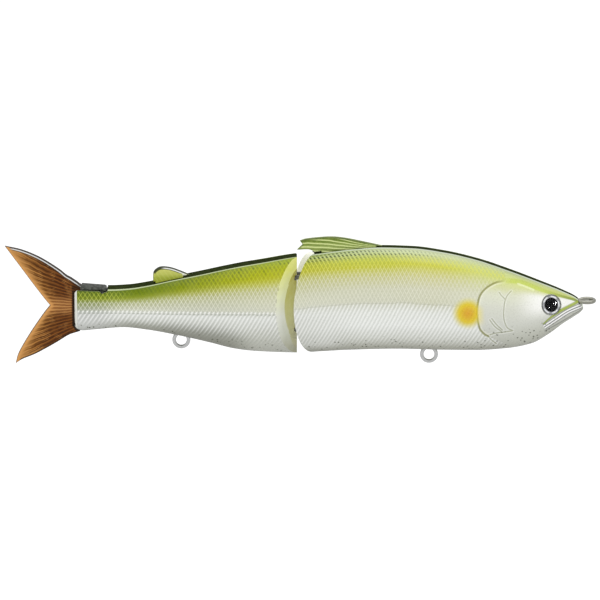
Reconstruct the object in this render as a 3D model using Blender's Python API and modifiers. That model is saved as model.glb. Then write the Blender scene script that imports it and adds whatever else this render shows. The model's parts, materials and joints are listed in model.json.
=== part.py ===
"""Two-section jointed swimbait with a soft forked tail.

Frame: +X towards the nose, +Y to the fish's left, +Z up.  The origin is the
centre of the line-tie ring at the nose.  Lengths are in drawing units: the
bait is 188.3 units long from snout to tail tip, and LENGTH gives its real
size.  Meshes are made in metres.
"""
import math

import bmesh
import bpy
from mathutils import Matrix, Vector

# ---------------------------------------------------------------- dimensions
LENGTH = 0.178         # snout to tail tip, in metres
UNIT = LENGTH / 188.3  # one drawing unit, about 0.95 mm
SEAM = 0.15            # each half shell starts this far from the centre plane
WALL = 1.8             # moulded wall of the hollow halves
WIRE_R = 0.625         # stainless wire, about 1.2 mm thick, in every eye
RING_R = 2.35          # centreline radius of the wire rings
CLEAR = 0.30           # gap kept between pieces that sit in each other

TAIL_END_X = -167.1    # rear end of the hard body
RIDGE_X = -94.5        # front ridge of the rear section's wedge
RIDGE_HALF = 1.8       # half width of the blunt ridge
WEDGE_SLOPE = 0.80     # skin edge runs back this much for each mm outwards
BAND_X = 2.9           # length of the pale shoulder along X
BAND_IN = 3.0          # how far the shoulder steps inwards

NOTCH_X = -88.9        # bottom of the front section's V notch
NOTCH_HALF = 0.8
NOTCH_SLOPE = 0.673

PIN_X = -87.5          # vertical hinge pin
PIN_R = 0.8
PIN_Z = (-11.2, 10.7)
EYE_Z = (8.4, -9.0)    # heights of the two hinge eyes
EYE_ANCHOR_X = -104.5  # centre of the eye's inner bend, inside the rear section

HANGER = {"front": (-51.4, -18.16), "rear": (-132.2, -13.25)}
HANGER_PITCH = 6.2     # outer ring centre to inner loop centre

EYE_X, EYE_ZC = -11.7, 0.45
EYE_R = 3.2

TAIL_AXIS_X = -169.15  # the soft tail bends about this vertical line
TAIL_HALF = 1.1

# profiles: (x, value) pairs of the hard body
TOP = [(-167.1, 4.7), (-163.6, 4.65), (-159.3, 4.5), (-154.8, 4.45), (-149.0, 4.75), (-143.7, 5.55),
       (-135.0, 7.45), (-126.1, 9.3), (-117.6, 11.2), (-107.2, 13.3), (-96.8, 15.4), (-88.9, 16.25),
       (-77.9, 17.5), (-67.4, 18.3), (-57.0, 18.0), (-46.6, 16.55), (-36.2, 14.05), (-25.7, 10.4),
       (-15.3, 6.35), (-7.5, 3.1), (-3.3, 0.8), (-1.9, -0.9), (-1.2, -2.2)]
BOTTOM = [(-167.1, -10.3), (-159.3, -9.5), (-151.0, -8.85), (-143.7, -9.6), (-133.2, -11.55),
          (-122.8, -14.0), (-115.0, -16.0), (-107.2, -17.0), (-96.8, -17.4), (-88.9, -17.0), (-77.9, -16.45),
          (-62.2, -16.05), (-46.6, -16.4), (-36.2, -16.5), (-25.7, -15.85), (-18.0, -14.3), (-12.7, -11.3),
          (-7.5, -7.35), (-4.0, -5.1), (-1.9, -3.6), (-1.2, -2.7)]
WIDTH = [(-167.1, 2.8), (-159.3, 3.3), (-150.0, 4.2), (-133.0, 6.8), (-117.6, 8.9), (-107.2, 9.9),
         (-94.5, 10.6), (-80.0, 10.9), (-58.0, 11.1), (-40.0, 10.8), (-28.0, 10.0), (-18.5, 8.6),
         (-11.7, 6.9), (-7.5, 5.3), (-3.9, 3.3), (-2.2, 2.0), (-1.2, 0.5)]
WIDEST_Z = [(-167.1, -2.6), (-133.0, -1.6), (-94.5, 0.3), (-50.0, 0.6), (-25.0, -0.6), (-10.0, -1.6), (-1.2, -2.4)]
BACK = [(-167.1, 2.2), (-150.0, 2.4), (-100.0, 2.3), (-88.9, 1.6), (-75.0, 1.4), (-40.0, 1.3), (-12.0, 1.1),
        (-3.5, 0.8), (-1.2, 0.2)]
N_UP = [(-167.1, 3.2), (-145.0, 2.4), (-120.0, 1.9), (-100.0, 1.7), (-80.0, 1.75), (-50.0, 1.9), (-12.0, 2.0), (-1.2, 2.0)]
N_LOW = [(-167.1, 3.0), (-145.0, 2.3), (-120.0, 2.05), (-94.5, 2.0), (-40.0, 2.05), (-12.0, 2.0), (-1.2, 2.0)]

# side outlines (x, z)
DORSAL = [(-86.6, 16.8), (-88.7, 16.5), (-90.6, 17.4), (-94.4, 17.3), (-92.6, 19.1), (-93.5, 20.3), (-91.0, 21.0),
          (-84.0, 21.6), (-79.0, 21.2), (-73.0, 20.0), (-66.8, 18.6), (-68.6, 18.45)]
DORSAL_TANG = [(-68.6, 15.0), (-86.6, 13.6)]
ADIPOSE = [(-129.6, 8.85), (-132.2, 10.0), (-135.2, 11.1), (-137.8, 11.5), (-139.5, 11.25), (-140.9, 10.2),
           (-141.3, 9.0), (-141.3, 6.4), (-140.6, 6.5)]
ADIPOSE_TANG = [(-140.6, 3.4), (-131.4, 5.6)]
ADIPOSE_END = [(-131.4, 8.5)]
BLADE = [(-169.15, 8.3), (-172.4, 11.0), (-178.2, 14.7), (-184.0, 17.2), (-189.5, 18.5), (-185.0, 12.2),
         (-180.0, 5.2), (-176.6, 0.6), (-174.9, -1.5), (-176.8, -3.9), (-180.0, -8.6), (-183.0, -13.4),
         (-185.4, -17.9), (-186.3, -21.2), (-184.0, -19.7), (-179.6, -17.8), (-173.6, -14.4), (-169.15, -11.2)]
ROOT = [(-168.0, -10.75), (-167.45, -10.45), (-167.45, -7.9), (-158.9, -7.9), (-158.9, 4.6), (-164.0, 5.15),
        (-166.2, 6.5), (-168.0, 7.8)]
ROOT_CAP = [(-164.6, 4.3), (-164.6, 5.45), (-157.0, 4.85), (-156.4, 4.45), (-156.6, 3.95), (-157.9, 3.3),
            (-158.7, 4.15)]


# ------------------------------------------------------------------- helpers
def smooth(points):
    """A curve through the control points that doesn't overshoot them."""
    xs = [p[0] for p in points]
    ys = [p[1] for p in points]
    n = len(xs)
    d = [(ys[i + 1] - ys[i]) / (xs[i + 1] - xs[i]) for i in range(n - 1)]
    m = [d[0]] + [0.0] * (n - 2) + [d[-1]]
    for i in range(1, n - 1):
        if d[i - 1] * d[i] > 0:
            w1 = 2 * (xs[i + 1] - xs[i]) + (xs[i] - xs[i - 1])
            w2 = (xs[i + 1] - xs[i]) + 2 * (xs[i] - xs[i - 1])
            m[i] = (w1 + w2) / (w1 / d[i - 1] + w2 / d[i])

    def f(x):
        if x <= xs[0]:
            return ys[0]
        if x >= xs[-1]:
            return ys[-1]
        i = max(j for j in range(n - 1) if xs[j] <= x)
        h = xs[i + 1] - xs[i]
        t = (x - xs[i]) / h
        return ((2 * t ** 3 - 3 * t ** 2 + 1) * ys[i] + (t ** 3 - 2 * t ** 2 + t) * h * m[i]
                + (-2 * t ** 3 + 3 * t ** 2) * ys[i + 1] + (t ** 3 - t ** 2) * h * m[i + 1])
    return f


f_top, f_bottom, f_width = smooth(TOP), smooth(BOTTOM), smooth(WIDTH)
f_mid, f_back, f_nu, f_nl = smooth(WIDEST_Z), smooth(BACK), smooth(N_UP), smooth(N_LOW)

UP_STEPS, LOW_STEPS = 6, 7


def section(x, inset=0.0, top=None, bottom=None, z_in=None):
    """Half section at x from the back seam, round the side, to the belly seam, as (y, z) pairs with y >= 0."""
    w = max(f_width(x) - inset, SEAM)
    z_in = inset if z_in is None else z_in
    zt = (f_top(x) - z_in) if top is None else top
    zb = (f_bottom(x) + z_in) if bottom is None else bottom
    zm = min(max(f_mid(x), zb + 0.15 * (zt - zb)), zt - 0.15 * (zt - zb))
    b = min(max(f_back(x) - 0.5 * inset, SEAM), w)
    pts = [(SEAM, zt)]
    for i in range(UP_STEPS):
        a = math.radians(90 - 90 * i / UP_STEPS)
        e = 2 / f_nu(x)
        pts.append((b + (w - b) * math.cos(a) ** e if i else b, zm + (zt - zm) * math.sin(a) ** e))
    for i in range(LOW_STEPS + 1):
        a = math.radians(90 * i / LOW_STEPS)
        e = 2 / f_nl(x)
        c = math.cos(a) if i < LOW_STEPS else 0.0
        pts.append((max(w * c ** e, SEAM), zm - (zm - zb) * math.sin(a) ** e))
    return pts


def loft(name, rings, seam_y, side, coll, mat=None):
    """Closed half solid: rings of (x, y, z) from rear to front, first and last lying on the seam plane."""
    me = bpy.data.meshes.new(name)
    bm = bmesh.new()
    rows = [[bm.verts.new((x * UNIT, side * y * UNIT, z * UNIT)) for x, y, z in ring] for ring in rings]
    n = len(rows[0])
    for a, b in zip(rows, rows[1:]):
        for i in range(n - 1):
            bm.faces.new((a[i], a[i + 1], b[i + 1], b[i]))
    loop = [r[0] for r in rows] + rows[-1][1:-1] + [r[-1] for r in reversed(rows)] + rows[0][-2:0:-1]
    bm.faces.new(loop)
    bmesh.ops.remove_doubles(bm, verts=bm.verts, dist=0.02 * UNIT)
    bmesh.ops.dissolve_degenerate(bm, edges=bm.edges, dist=0.005 * UNIT)
    bmesh.ops.triangulate(bm, faces=[f for f in bm.faces if len(f.verts) > 4])
    bmesh.ops.recalc_face_normals(bm, faces=bm.faces)
    bm.to_mesh(me)
    bm.free()
    return place(name, me, coll, mat)


def place(name, me, coll, mat=None):
    ob = bpy.data.objects.new(name, me)
    coll.objects.link(ob)
    if mat:
        me.materials.append(mat)
    return ob


def material(name, colour, rough, metal=0.0, alpha=1.0):
    mat = bpy.data.materials.new(name)
    mat.use_nodes = True
    p = mat.node_tree.nodes["Principled BSDF"]
    p.inputs["Base Color"].default_value = (*colour, 1)
    p.inputs["Roughness"].default_value = rough
    p.inputs["Metallic"].default_value = metal
    p.inputs["Alpha"].default_value = alpha
    return mat


def to_mesh(ob):
    """The evaluated mesh of a curve object as a welded mesh object of the same name."""
    bpy.context.view_layer.update()
    dg = bpy.context.evaluated_depsgraph_get()
    me = bpy.data.meshes.new_from_object(ob.evaluated_get(dg))
    name, coll, world = ob.name, ob.users_collection[0], ob.matrix_world.copy()
    bpy.data.objects.remove(ob)
    bm = bmesh.new()
    bm.from_mesh(me)
    bmesh.ops.remove_doubles(bm, verts=bm.verts, dist=0.01 * UNIT)
    bmesh.ops.recalc_face_normals(bm, faces=bm.faces)
    bm.to_mesh(me)
    bm.free()
    me.name = name
    new = place(name, me, coll)
    new.matrix_world = world
    return new


def wire(name, points, radius, coll, mat=None, closed=True):
    """Round wire along points given in drawing units."""
    cu = bpy.data.curves.new(name, "CURVE")
    cu.dimensions = "3D"
    cu.bevel_depth = radius * UNIT
    cu.bevel_resolution = 2
    cu.use_fill_caps = True
    cu.render_resolution_u = 0
    cu.twist_mode = "MINIMUM"
    sp = cu.splines.new("POLY")
    sp.points.add(len(points) - 1)
    for p, co in zip(sp.points, points):
        p.co = (co[0] * UNIT, co[1] * UNIT, co[2] * UNIT, 1)
    sp.use_cyclic_u = closed
    ob = bpy.data.objects.new(name, cu)
    coll.objects.link(ob)
    ob = to_mesh(ob)
    if mat:
        ob.data.materials.append(mat)
    ob.data.shade_smooth()
    return ob


def plate(name, outline, half, coll, mat=None):
    """Flat plate: an outline in the XZ plane, thickened both ways along Y."""
    cu = bpy.data.curves.new(name, "CURVE")
    cu.dimensions = "2D"
    cu.fill_mode = "BOTH"
    cu.extrude = half * UNIT
    cu.render_resolution_u = 0
    sp = cu.splines.new("POLY")
    sp.points.add(len(outline) - 1)
    for p, co in zip(sp.points, outline):
        p.co = (co[0] * UNIT, co[1] * UNIT, 0, 1)
    sp.use_cyclic_u = True
    ob = bpy.data.objects.new(name, cu)
    ob.rotation_euler = (math.pi / 2, 0, 0)
    coll.objects.link(ob)
    ob = to_mesh(ob)
    if mat:
        ob.data.materials.append(mat)
    return ob


def slab(name, outline, z0, z1, coll):
    """Cutter: an outline in the XY plane between two heights."""
    cu = bpy.data.curves.new(name, "CURVE")
    cu.dimensions = "2D"
    cu.fill_mode = "BOTH"
    cu.extrude = (z1 - z0) / 2 * UNIT
    cu.render_resolution_u = 0
    sp = cu.splines.new("POLY")
    sp.points.add(len(outline) - 1)
    for p, co in zip(sp.points, outline):
        p.co = (co[0] * UNIT, co[1] * UNIT, 0, 1)
    sp.use_cyclic_u = True
    ob = bpy.data.objects.new(name, cu)
    ob.location = (0, 0, (z0 + z1) / 2 * UNIT)
    coll.objects.link(ob)
    return to_mesh(ob)


def rod(name, radius, z0, z1, x, coll, mat=None, sides=20):
    me = bpy.data.meshes.new(name)
    bm = bmesh.new()
    bmesh.ops.create_cone(bm, cap_ends=True, segments=sides, radius1=radius * UNIT, radius2=radius * UNIT,
                          depth=(z1 - z0) * UNIT)
    bm.to_mesh(me)
    bm.free()
    ob = place(name, me, coll, mat)
    ob.location = (x * UNIT, 0, (z0 + z1) / 2 * UNIT)
    me.shade_smooth()
    me.set_sharp_from_angle(angle=math.radians(40))
    return ob


def disc(name, radius, depth, centre, normal, coll, mat=None, sides=28):
    """Short cylinder whose back face centre is at centre, standing along normal."""
    me = bpy.data.meshes.new(name)
    bm = bmesh.new()
    bmesh.ops.create_cone(bm, cap_ends=True, segments=sides, radius1=radius * UNIT, radius2=radius * UNIT,
                          depth=depth * UNIT)
    bmesh.ops.translate(bm, verts=bm.verts, vec=(0, 0, depth / 2 * UNIT))
    bm.to_mesh(me)
    bm.free()
    ob = place(name, me, coll, mat)
    ob.matrix_world = Matrix.Translation(centre * UNIT) @ normal.to_track_quat("Z", "Y").to_matrix().to_4x4()
    me.shade_smooth()
    me.set_sharp_from_angle(angle=math.radians(40))
    return ob


def dome(name, radius, height, centre, normal, coll, mat):
    """Clear lens turned about its axis: flat back and a low round front."""
    me = bpy.data.meshes.new(name)
    bm = bmesh.new()
    steps = 6
    prof = [(radius * math.sin(math.radians(90 * i / steps)), height * math.cos(math.radians(90 * i / steps)))
            for i in range(steps + 1)] + [(0.0, 0.0)]
    verts = [bm.verts.new((r * UNIT, 0, z * UNIT)) for r, z in prof]
    for a, b in zip(verts, verts[1:]):
        bm.edges.new((a, b))
    bm.to_mesh(me)
    bm.free()
    ob = place(name, me, coll, mat)
    ob.matrix_world = Matrix.Translation(centre * UNIT) @ normal.to_track_quat("Z", "Y").to_matrix().to_4x4()
    sc = ob.modifiers.new("turn", "SCREW")
    sc.axis, sc.angle, sc.screw_offset = "Z", 2 * math.pi, 0
    sc.steps = sc.render_steps = 28
    sc.use_merge_vertices, sc.merge_threshold = True, 0.00001
    sc.use_smooth_shade = True
    return ob


def cut(ob, *cutters, op="DIFFERENCE"):
    for c in cutters:
        c.hide_render = True
        c.display_type = "WIRE"
        m = ob.modifiers.new(c.name, "BOOLEAN")
        m.operation, m.object, m.solver = op, c, "EXACT"


def arc(cx, cy, r, a0, a1, n):
    return [(cx + r * math.cos(math.radians(a0 + (a1 - a0) * i / n)),
             cy + r * math.sin(math.radians(a0 + (a1 - a0) * i / n))) for i in range(n + 1)]


def figure_eight(r1, r2, pitch, waist, n=12):
    """Right half of a two-loop wire eye along +u: ring of r1 at u=0, ring of r2 at u=pitch, waist at v=waist.
    Returns (u, v) points with v > 0 from the outside of ring one to the outside of ring two."""
    lo, hi = 0.01, 60.0
    for _ in range(60):                     # fillet radius whose circle touches both rings and the waist
        rf = (lo + hi) / 2
        v = waist + rf
        d1, d2 = r1 + rf, r2 + rf
        if d1 <= v or d2 <= v:
            lo = rf
            continue
        span = math.sqrt(d1 * d1 - v * v) + math.sqrt(d2 * d2 - v * v)
        if span < pitch:
            lo = rf
        else:
            hi = rf
    v = waist + rf
    u = math.sqrt((r1 + rf) ** 2 - v * v)
    t1 = math.degrees(math.atan2(v, u))
    t2 = math.degrees(math.atan2(v, pitch - u))
    pts = arc(0, 0, r1, 180, t1, n)
    pts += arc(u, v, rf, 180 + t1, 360 - t2, 6)[1:]
    pts += arc(pitch, 0, r2, 180 - t2, 0, n)[1:]
    return pts


# -------------------------------------------------------------------- scene
for ob in list(bpy.data.objects):
    bpy.data.objects.remove(ob)
for me in list(bpy.data.meshes):
    bpy.data.meshes.remove(me)

bait = bpy.data.collections.new("swimbait")
tools = bpy.data.collections.new("cutters")
bpy.context.scene.collection.children.link(bait)
bpy.context.scene.collection.children.link(tools)

m_skin = material("painted_shell", (0.62, 0.66, 0.38), 0.22)
m_fin = material("fin_resin", (0.30, 0.40, 0.08), 0.35)
m_tail = material("soft_tail", (0.45, 0.22, 0.08), 0.45)
m_wire = material("stainless_wire", (0.75, 0.75, 0.76), 0.18, 1.0)
m_iris = material("eye_foil", (0.75, 0.76, 0.78), 0.2, 0.9)
m_lens = material("eye_lens", (0.95, 0.96, 0.97), 0.03, 0.0, 0.35)
m_lead = material("ballast_metal", (0.42, 0.42, 0.44), 0.45, 1.0)


# ----------------------------------------------------------- hard body halves
def rear_outer_rings():
    rings = []
    first = None
    for d in (0.0, 0.35, 1.2, 2.2, 3.4):
        x = TAIL_END_X + d
        ry, rz = 2.3, 3.4
        iy = ry - math.sqrt(max(ry * ry - max(ry - d, 0) ** 2, 0))
        iz = rz - math.sqrt(max(rz * rz - max(rz - d, 0) ** 2, 0))
        rings.append([(x, y, z) for y, z in section(x, iy, z_in=iz * 0.8)])
        if first is None:
            first = [(x, SEAM, z) for _, _, z in rings[0]]
    for x in (-160, -155, -149.5, -144, -138, -132, -126, -120, -114, -108):
        rings.append([(x, y, z) for y, z in section(x)])
    edge = []
    for y, z in section(-97.5):
        edge.append((RIDGE_X - WEDGE_SLOPE * max(y - RIDGE_HALF, 0), y, z))
    for f in (0.5,):
        base = section(-104)
        rings.append([((1 - f) * -108 + f * e[0], (base[i][0] + (e[1] - base[i][0]) * f), base[i][1] + (e[2] - base[i][1]) * f)
                      for i, e in enumerate(edge)])
    rings.append(edge)
    crease = []
    n = len(edge)
    for i, (x, y, z) in enumerate(edge):
        ya, za = edge[max(i - 1, 0)][1:]
        yb, zb = edge[min(i + 1, n - 1)][1:]
        t = Vector((yb - ya, zb - za))
        t.normalize()
        nrm = Vector((-t.y, t.x))           # outward: t runs from the back down to the belly
        if nrm.x < 0:
            nrm = -nrm
        xc = min(x + BAND_X, RIDGE_X)
        w = (xc - x) / BAND_X
        yc = max(y - nrm.x * BAND_IN * w, min(y, RIDGE_HALF))
        crease.append((xc, yc, z - nrm.y * BAND_IN * w))
    rings.append(crease)
    nose = [(RIDGE_X, min(y, RIDGE_HALF), z) for x, y, z in crease]
    rings.append(nose)
    rings.append([(RIDGE_X, SEAM, z) for _, _, z in nose])
    return [first] + rings


def front_outer_rings():
    edge = []
    for y, z in section(-91.5):
        edge.append((NOTCH_X - NOTCH_SLOPE * max(y - NOTCH_HALF, 0), y, z))
    nose = [(NOTCH_X, min(y, NOTCH_HALF), z) for x, y, z in edge]
    rings = [[(NOTCH_X, SEAM, z) for _, _, z in nose], nose, edge]
    base = section(-86)
    rings.append([(0.45 * e[0] + 0.55 * -83, 0.3 * e[1] + 0.7 * base[i][0], 0.3 * e[2] + 0.7 * base[i][1])
                  for i, e in enumerate(edge)])
    for x in (-80, -73, -66, -58, -50, -42, -35, -29, -23.5, -19, -15, -11.7, -8.8, -6.2, -4.2, -2.9, -1.9):
        rings.append([(x, y, z) for y, z in section(x)])
    tip = [(-1.2, max(y, SEAM), z) for y, z in section(-1.2)]
    rings.append(tip)
    rings.append([(-1.2, SEAM, z) for _, _, z in tip])
    return rings


def cavity_rings(stations):
    """Hollow inside a section; each station is x with an optional raised floor and lowered roof.
    It starts on the far side of the seam so that it opens the whole half."""
    rings = []
    for x, floor, roof in stations:
        top = f_top(x) - WALL if roof is None else roof
        bottom = f_bottom(x) + WALL if floor is None else floor
        rings.append([(x, y, z) for y, z in section(x, WALL, top=top, bottom=bottom)])
    out = []
    for ring in rings:
        out.append([(x, -1.0 if i in (0, len(ring) - 1) else y, z) for i, (x, y, z) in enumerate(ring)])
    first = [(x, -1.0, z) for x, _, z in out[0]]
    last = [(x, -1.0, z) for x, _, z in out[-1]]
    return [first] + out + [last]


FX, FZ = HANGER["front"]
RX, RZ = HANGER["rear"]
FRONT_CAVITY = [(-80.5, None, 13.2), (-70, None, 14.0), (-66.3, None, 14.3), (-65.7, None, None), (FX - 4.9, None, None),
                (FX - 4.5, -8.2, None), (FX + 4.5, -8.2, None), (FX + 4.9, None, None), (-38, None, None), (-30, None, None),
                (-23.5, None, None), (-17.5, None, None), (-14.2, None, None)]
REAR_CAVITY = [(-155.5, None, 1.0), (-144, None, 1.4), (-143.0, None, 1.6), (RX - 4.9, None, 2.4), (RX - 4.5, -3.4, 2.5), (RX + 3.0, -3.4, 3.2),
               (RX + 4.5, -3.4, None), (RX + 4.9, None, None), (-118, None, None), (-109.5, None, None)]


def hanger_points(cx, cz):
    half = figure_eight(RING_R, RING_R, HANGER_PITCH, 1.1)
    pts = [(cx + v, 0, cz + u) for u, v in half]
    pts += [(cx - v, 0, cz + u) for u, v in half[-2:0:-1]]
    return pts


TIE_PITCH, TIE_R2, TIE_WAIST = 8.3, 1.6, 0.69


def tie_points(side):
    half = figure_eight(RING_R, TIE_R2, TIE_PITCH, TIE_WAIST)
    drop = math.tan(math.radians(9))
    return [(-u, side * v, -max(u - 1.5, 0) * drop) for u, v in half]


def eye_points(z):
    """Long link: a round end about the pin and a round end about the anchor peg."""
    pts = arc(PIN_X, 0, RING_R, -90, 90, 12)
    pts += arc(EYE_ANCHOR_X, 0, RING_R, 90, 270, 10)
    return [(x, y, z) for x, y in pts]


# wire pieces
front_hook_hanger = wire("front_hook_hanger", hanger_points(FX, FZ), WIRE_R, bait, m_wire)
rear_hook_hanger = wire("rear_hook_hanger", hanger_points(RX, RZ), WIRE_R, bait, m_wire)
right_half = tie_points(-1)
line_tie = wire("line_tie", right_half + tie_points(1)[-2:0:-1], WIRE_R, bait, m_wire)
upper_hinge_eye = wire("upper_hinge_eye", eye_points(EYE_Z[0]), WIRE_R, bait, m_wire)
lower_hinge_eye = wire("lower_hinge_eye", eye_points(EYE_Z[1]), WIRE_R, bait, m_wire)
hinge_pin = rod("hinge_pin", PIN_R, PIN_Z[0], PIN_Z[1], PIN_X, bait, m_wire)

# cutters for their seats
seat_r = WIRE_R + CLEAR
seat_front = wire("seat_front_hanger", hanger_points(FX, FZ), seat_r, tools)
seat_rear = wire("seat_rear_hanger", hanger_points(RX, RZ), seat_r, tools)
seat_tie_r = wire("seat_tie_right", tie_points(-1)[6:], seat_r, tools, closed=False)
seat_tie_l = wire("seat_tie_left", tie_points(1)[6:], seat_r, tools, closed=False)
seat_up = wire("seat_upper_eye", eye_points(EYE_Z[0]), seat_r, tools)
seat_low = wire("seat_lower_eye", eye_points(EYE_Z[1]), seat_r, tools)
pin_hole = rod("pin_hole", PIN_R + 0.25, PIN_Z[0] - 0.3, PIN_Z[1] + 0.3, PIN_X, tools, sides=16)
swing = [(-98.0, -7.4), (PIN_X - 1.0, -3.75)] + arc(PIN_X, 0, 3.6, -90, 90, 10) + [(PIN_X - 1.0, 3.75), (-98.0, 7.4)]
slot_up = slab("slot_upper_eye", swing, EYE_Z[0] - 0.98, EYE_Z[0] + 0.98, tools)
slot_low = slab("slot_lower_eye", swing, EYE_Z[1] - 0.98, EYE_Z[1] + 0.98, tools)


def grown(outline, tang, gap):
    """Slot outline round a fin's tang: its four sides moved out by gap, and the top left open."""
    (xa, za), (xb, zb) = sorted(tang)
    return [(xa - gap, za - gap), (xb + gap, zb - gap), (xb + gap, zb + 9), (xa - gap, za + 9)]


FIN_HALF = 1.0
dorsal_fin = plate("dorsal_fin", DORSAL + DORSAL_TANG, FIN_HALF, bait, m_fin)
adipose_fin = plate("adipose_fin", ADIPOSE + ADIPOSE_TANG + ADIPOSE_END, FIN_HALF, bait, m_fin)
slot_dorsal = plate("slot_dorsal", grown(DORSAL, DORSAL_TANG, CLEAR), FIN_HALF + CLEAR, tools)
slot_adipose = plate("slot_adipose", grown(ADIPOSE, ADIPOSE_TANG, CLEAR), FIN_HALF + CLEAR, tools)

# soft tail: the anchored root and the free blade
tail_root = plate("tail_root", ROOT, TAIL_HALF, bait, m_tail)
cap = plate("tail_cap", ROOT_CAP, 2.2, tools)
cut(tail_root, cap, op="UNION")
tail_fin = plate("tail_fin", BLADE, 0.9, bait, m_tail)
bead = rod("tail_bead", TAIL_HALF, -11.2, 8.3, TAIL_AXIS_X, tools, sides=16)
cut(tail_fin, bead, op="UNION")
slot_tail = plate("slot_tail", [(-170, -8.2), (-158.6, -8.2), (-158.6, 9), (-170, 9)], TAIL_HALF + CLEAR, tools)
slot_cap = plate("slot_cap", [(-172, 4.0), (-158.9, 3.85), (-158.0, 2.95), (-156.2, 3.75), (-156.0, 4.6), (-156.0, 9),
                              (-172, 9)], 4.0, tools)


def surface_frame(x, z_target, side):
    """Point and outward normal of the outer skin at x and a height."""
    def y_at(xx, zz):
        sec = section(xx)
        for (y0, z0), (y1, z1) in zip(sec[1:], sec[2:]):
            if z1 <= zz <= z0:
                return y0 + (y1 - y0) * (z0 - zz) / (z0 - z1)
        return sec[-1][0]
    y = y_at(x, z_target)
    dydx = (y_at(x + 1.5, z_target) - y_at(x - 1.5, z_target)) / 3
    dydz = (y_at(x, z_target + 1.5) - y_at(x, z_target - 1.5)) / 3
    nrm = Vector((-dydx, 1, -dydz)).normalized()
    return Vector((x, side * y, z_target)), Vector((nrm.x, side * nrm.y, nrm.z))


for side, tag in ((-1, "right"), (1, "left")):
    front = loft("front_shell_" + tag, front_outer_rings(), SEAM, side, bait, m_skin)
    rear = loft("rear_shell_" + tag, rear_outer_rings(), SEAM, side, bait, m_skin)
    hollow_f = loft("hollow_front_" + tag, cavity_rings(FRONT_CAVITY), -1, side, tools)
    hollow_r = loft("hollow_rear_" + tag, cavity_rings(REAR_CAVITY), -1, side, tools)
    pt, nrm = surface_frame(EYE_X, EYE_ZC, side)
    floor = pt - nrm * 1.15
    socket = disc("socket_" + tag, EYE_R + CLEAR, 3.5, floor, nrm, tools)
    cut(front, hollow_f, slot_up, slot_low, pin_hole, seat_front, seat_tie_r if side < 0 else seat_tie_l,
        slot_dorsal, socket)
    cut(rear, hollow_r, seat_up, seat_low, seat_rear, slot_adipose, slot_tail, slot_cap)
    disc("eye_iris_" + tag, EYE_R, 0.45, floor + nrm * 0.3, nrm, bait, m_iris)
    dome("eye_lens_" + tag, EYE_R, 1.25, floor + nrm * 0.95, nrm, bait, m_lens)


# ------------------------------------------------------------------- ballast
def weight(name, x0, x1, r, z, flat):
    """Round bar along X with a flat top."""
    me = bpy.data.meshes.new(name)
    bm = bmesh.new()
    bmesh.ops.create_cone(bm, cap_ends=True, segments=20, radius1=r * UNIT, radius2=r * UNIT, depth=(x1 - x0) * UNIT)
    bmesh.ops.rotate(bm, verts=bm.verts, cent=(0, 0, 0), matrix=Matrix.Rotation(math.pi / 2, 3, "Y"))
    if flat:
        geom = bm.verts[:] + bm.edges[:] + bm.faces[:]
        bmesh.ops.bisect_plane(bm, geom=geom, plane_co=(0, 0, flat * UNIT), plane_no=(0, 0, 1), clear_outer=True)
        bmesh.ops.holes_fill(bm, edges=[e for e in bm.edges if e.is_boundary])
        bmesh.ops.recalc_face_normals(bm, faces=bm.faces)
    bm.to_mesh(me)
    bm.free()
    ob = place(name, me, bait, m_lead)
    ob.location = ((x0 + x1) / 2 * UNIT, 0, z * UNIT)
    me.shade_smooth()
    me.set_sharp_from_angle(angle=math.radians(40))
    return ob


nose_ballast = weight("nose_ballast", -28.5, -19.0, 3.7, -8.2, 0)
belly_ballast = weight("belly_ballast", -46.0, -30.5, 4.8, -9.3, 0)
mid_ballast = weight("mid_ballast", -74.0, -57.5, 4.8, -9.2, 0)
rear_ballast = weight("rear_ballast", -124.0, -111.0, 3.5, -7.7, 2.4)

# ---------------------------------------------------------- moving-part axes
for name, x, children in (("yaw_axis", PIN_X, ("rear_shell_right", "rear_shell_left", "adipose_fin", "tail_root",
                                                "rear_hook_hanger", "upper_hinge_eye", "lower_hinge_eye",
                                                "rear_ballast")),
                          ("tail_axis", TAIL_AXIS_X, ("tail_fin",))):
    axis = bpy.data.objects.new(name, None)
    axis.location = (x * UNIT, 0, 0)
    bait.objects.link(axis)
    bpy.context.view_layer.update()
    for child in children:
        ob = bpy.data.objects[child]
        ob.parent = axis
        ob.matrix_parent_inverse = axis.matrix_world.inverted()
bpy.context.view_layer.update()
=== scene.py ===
"""Looks of the two-section jointed swimbait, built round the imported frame.

Frame: +X to the nose, +Y to the fish's left, +Z up, origin at the line-tie ring.
Lengths below are in drawing units of UNIT metres, the same ones the frame was drawn in.
"""
import json
import math

import bmesh
import bpy
import numpy as np
from mathutils import Matrix, Vector, geometry

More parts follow.
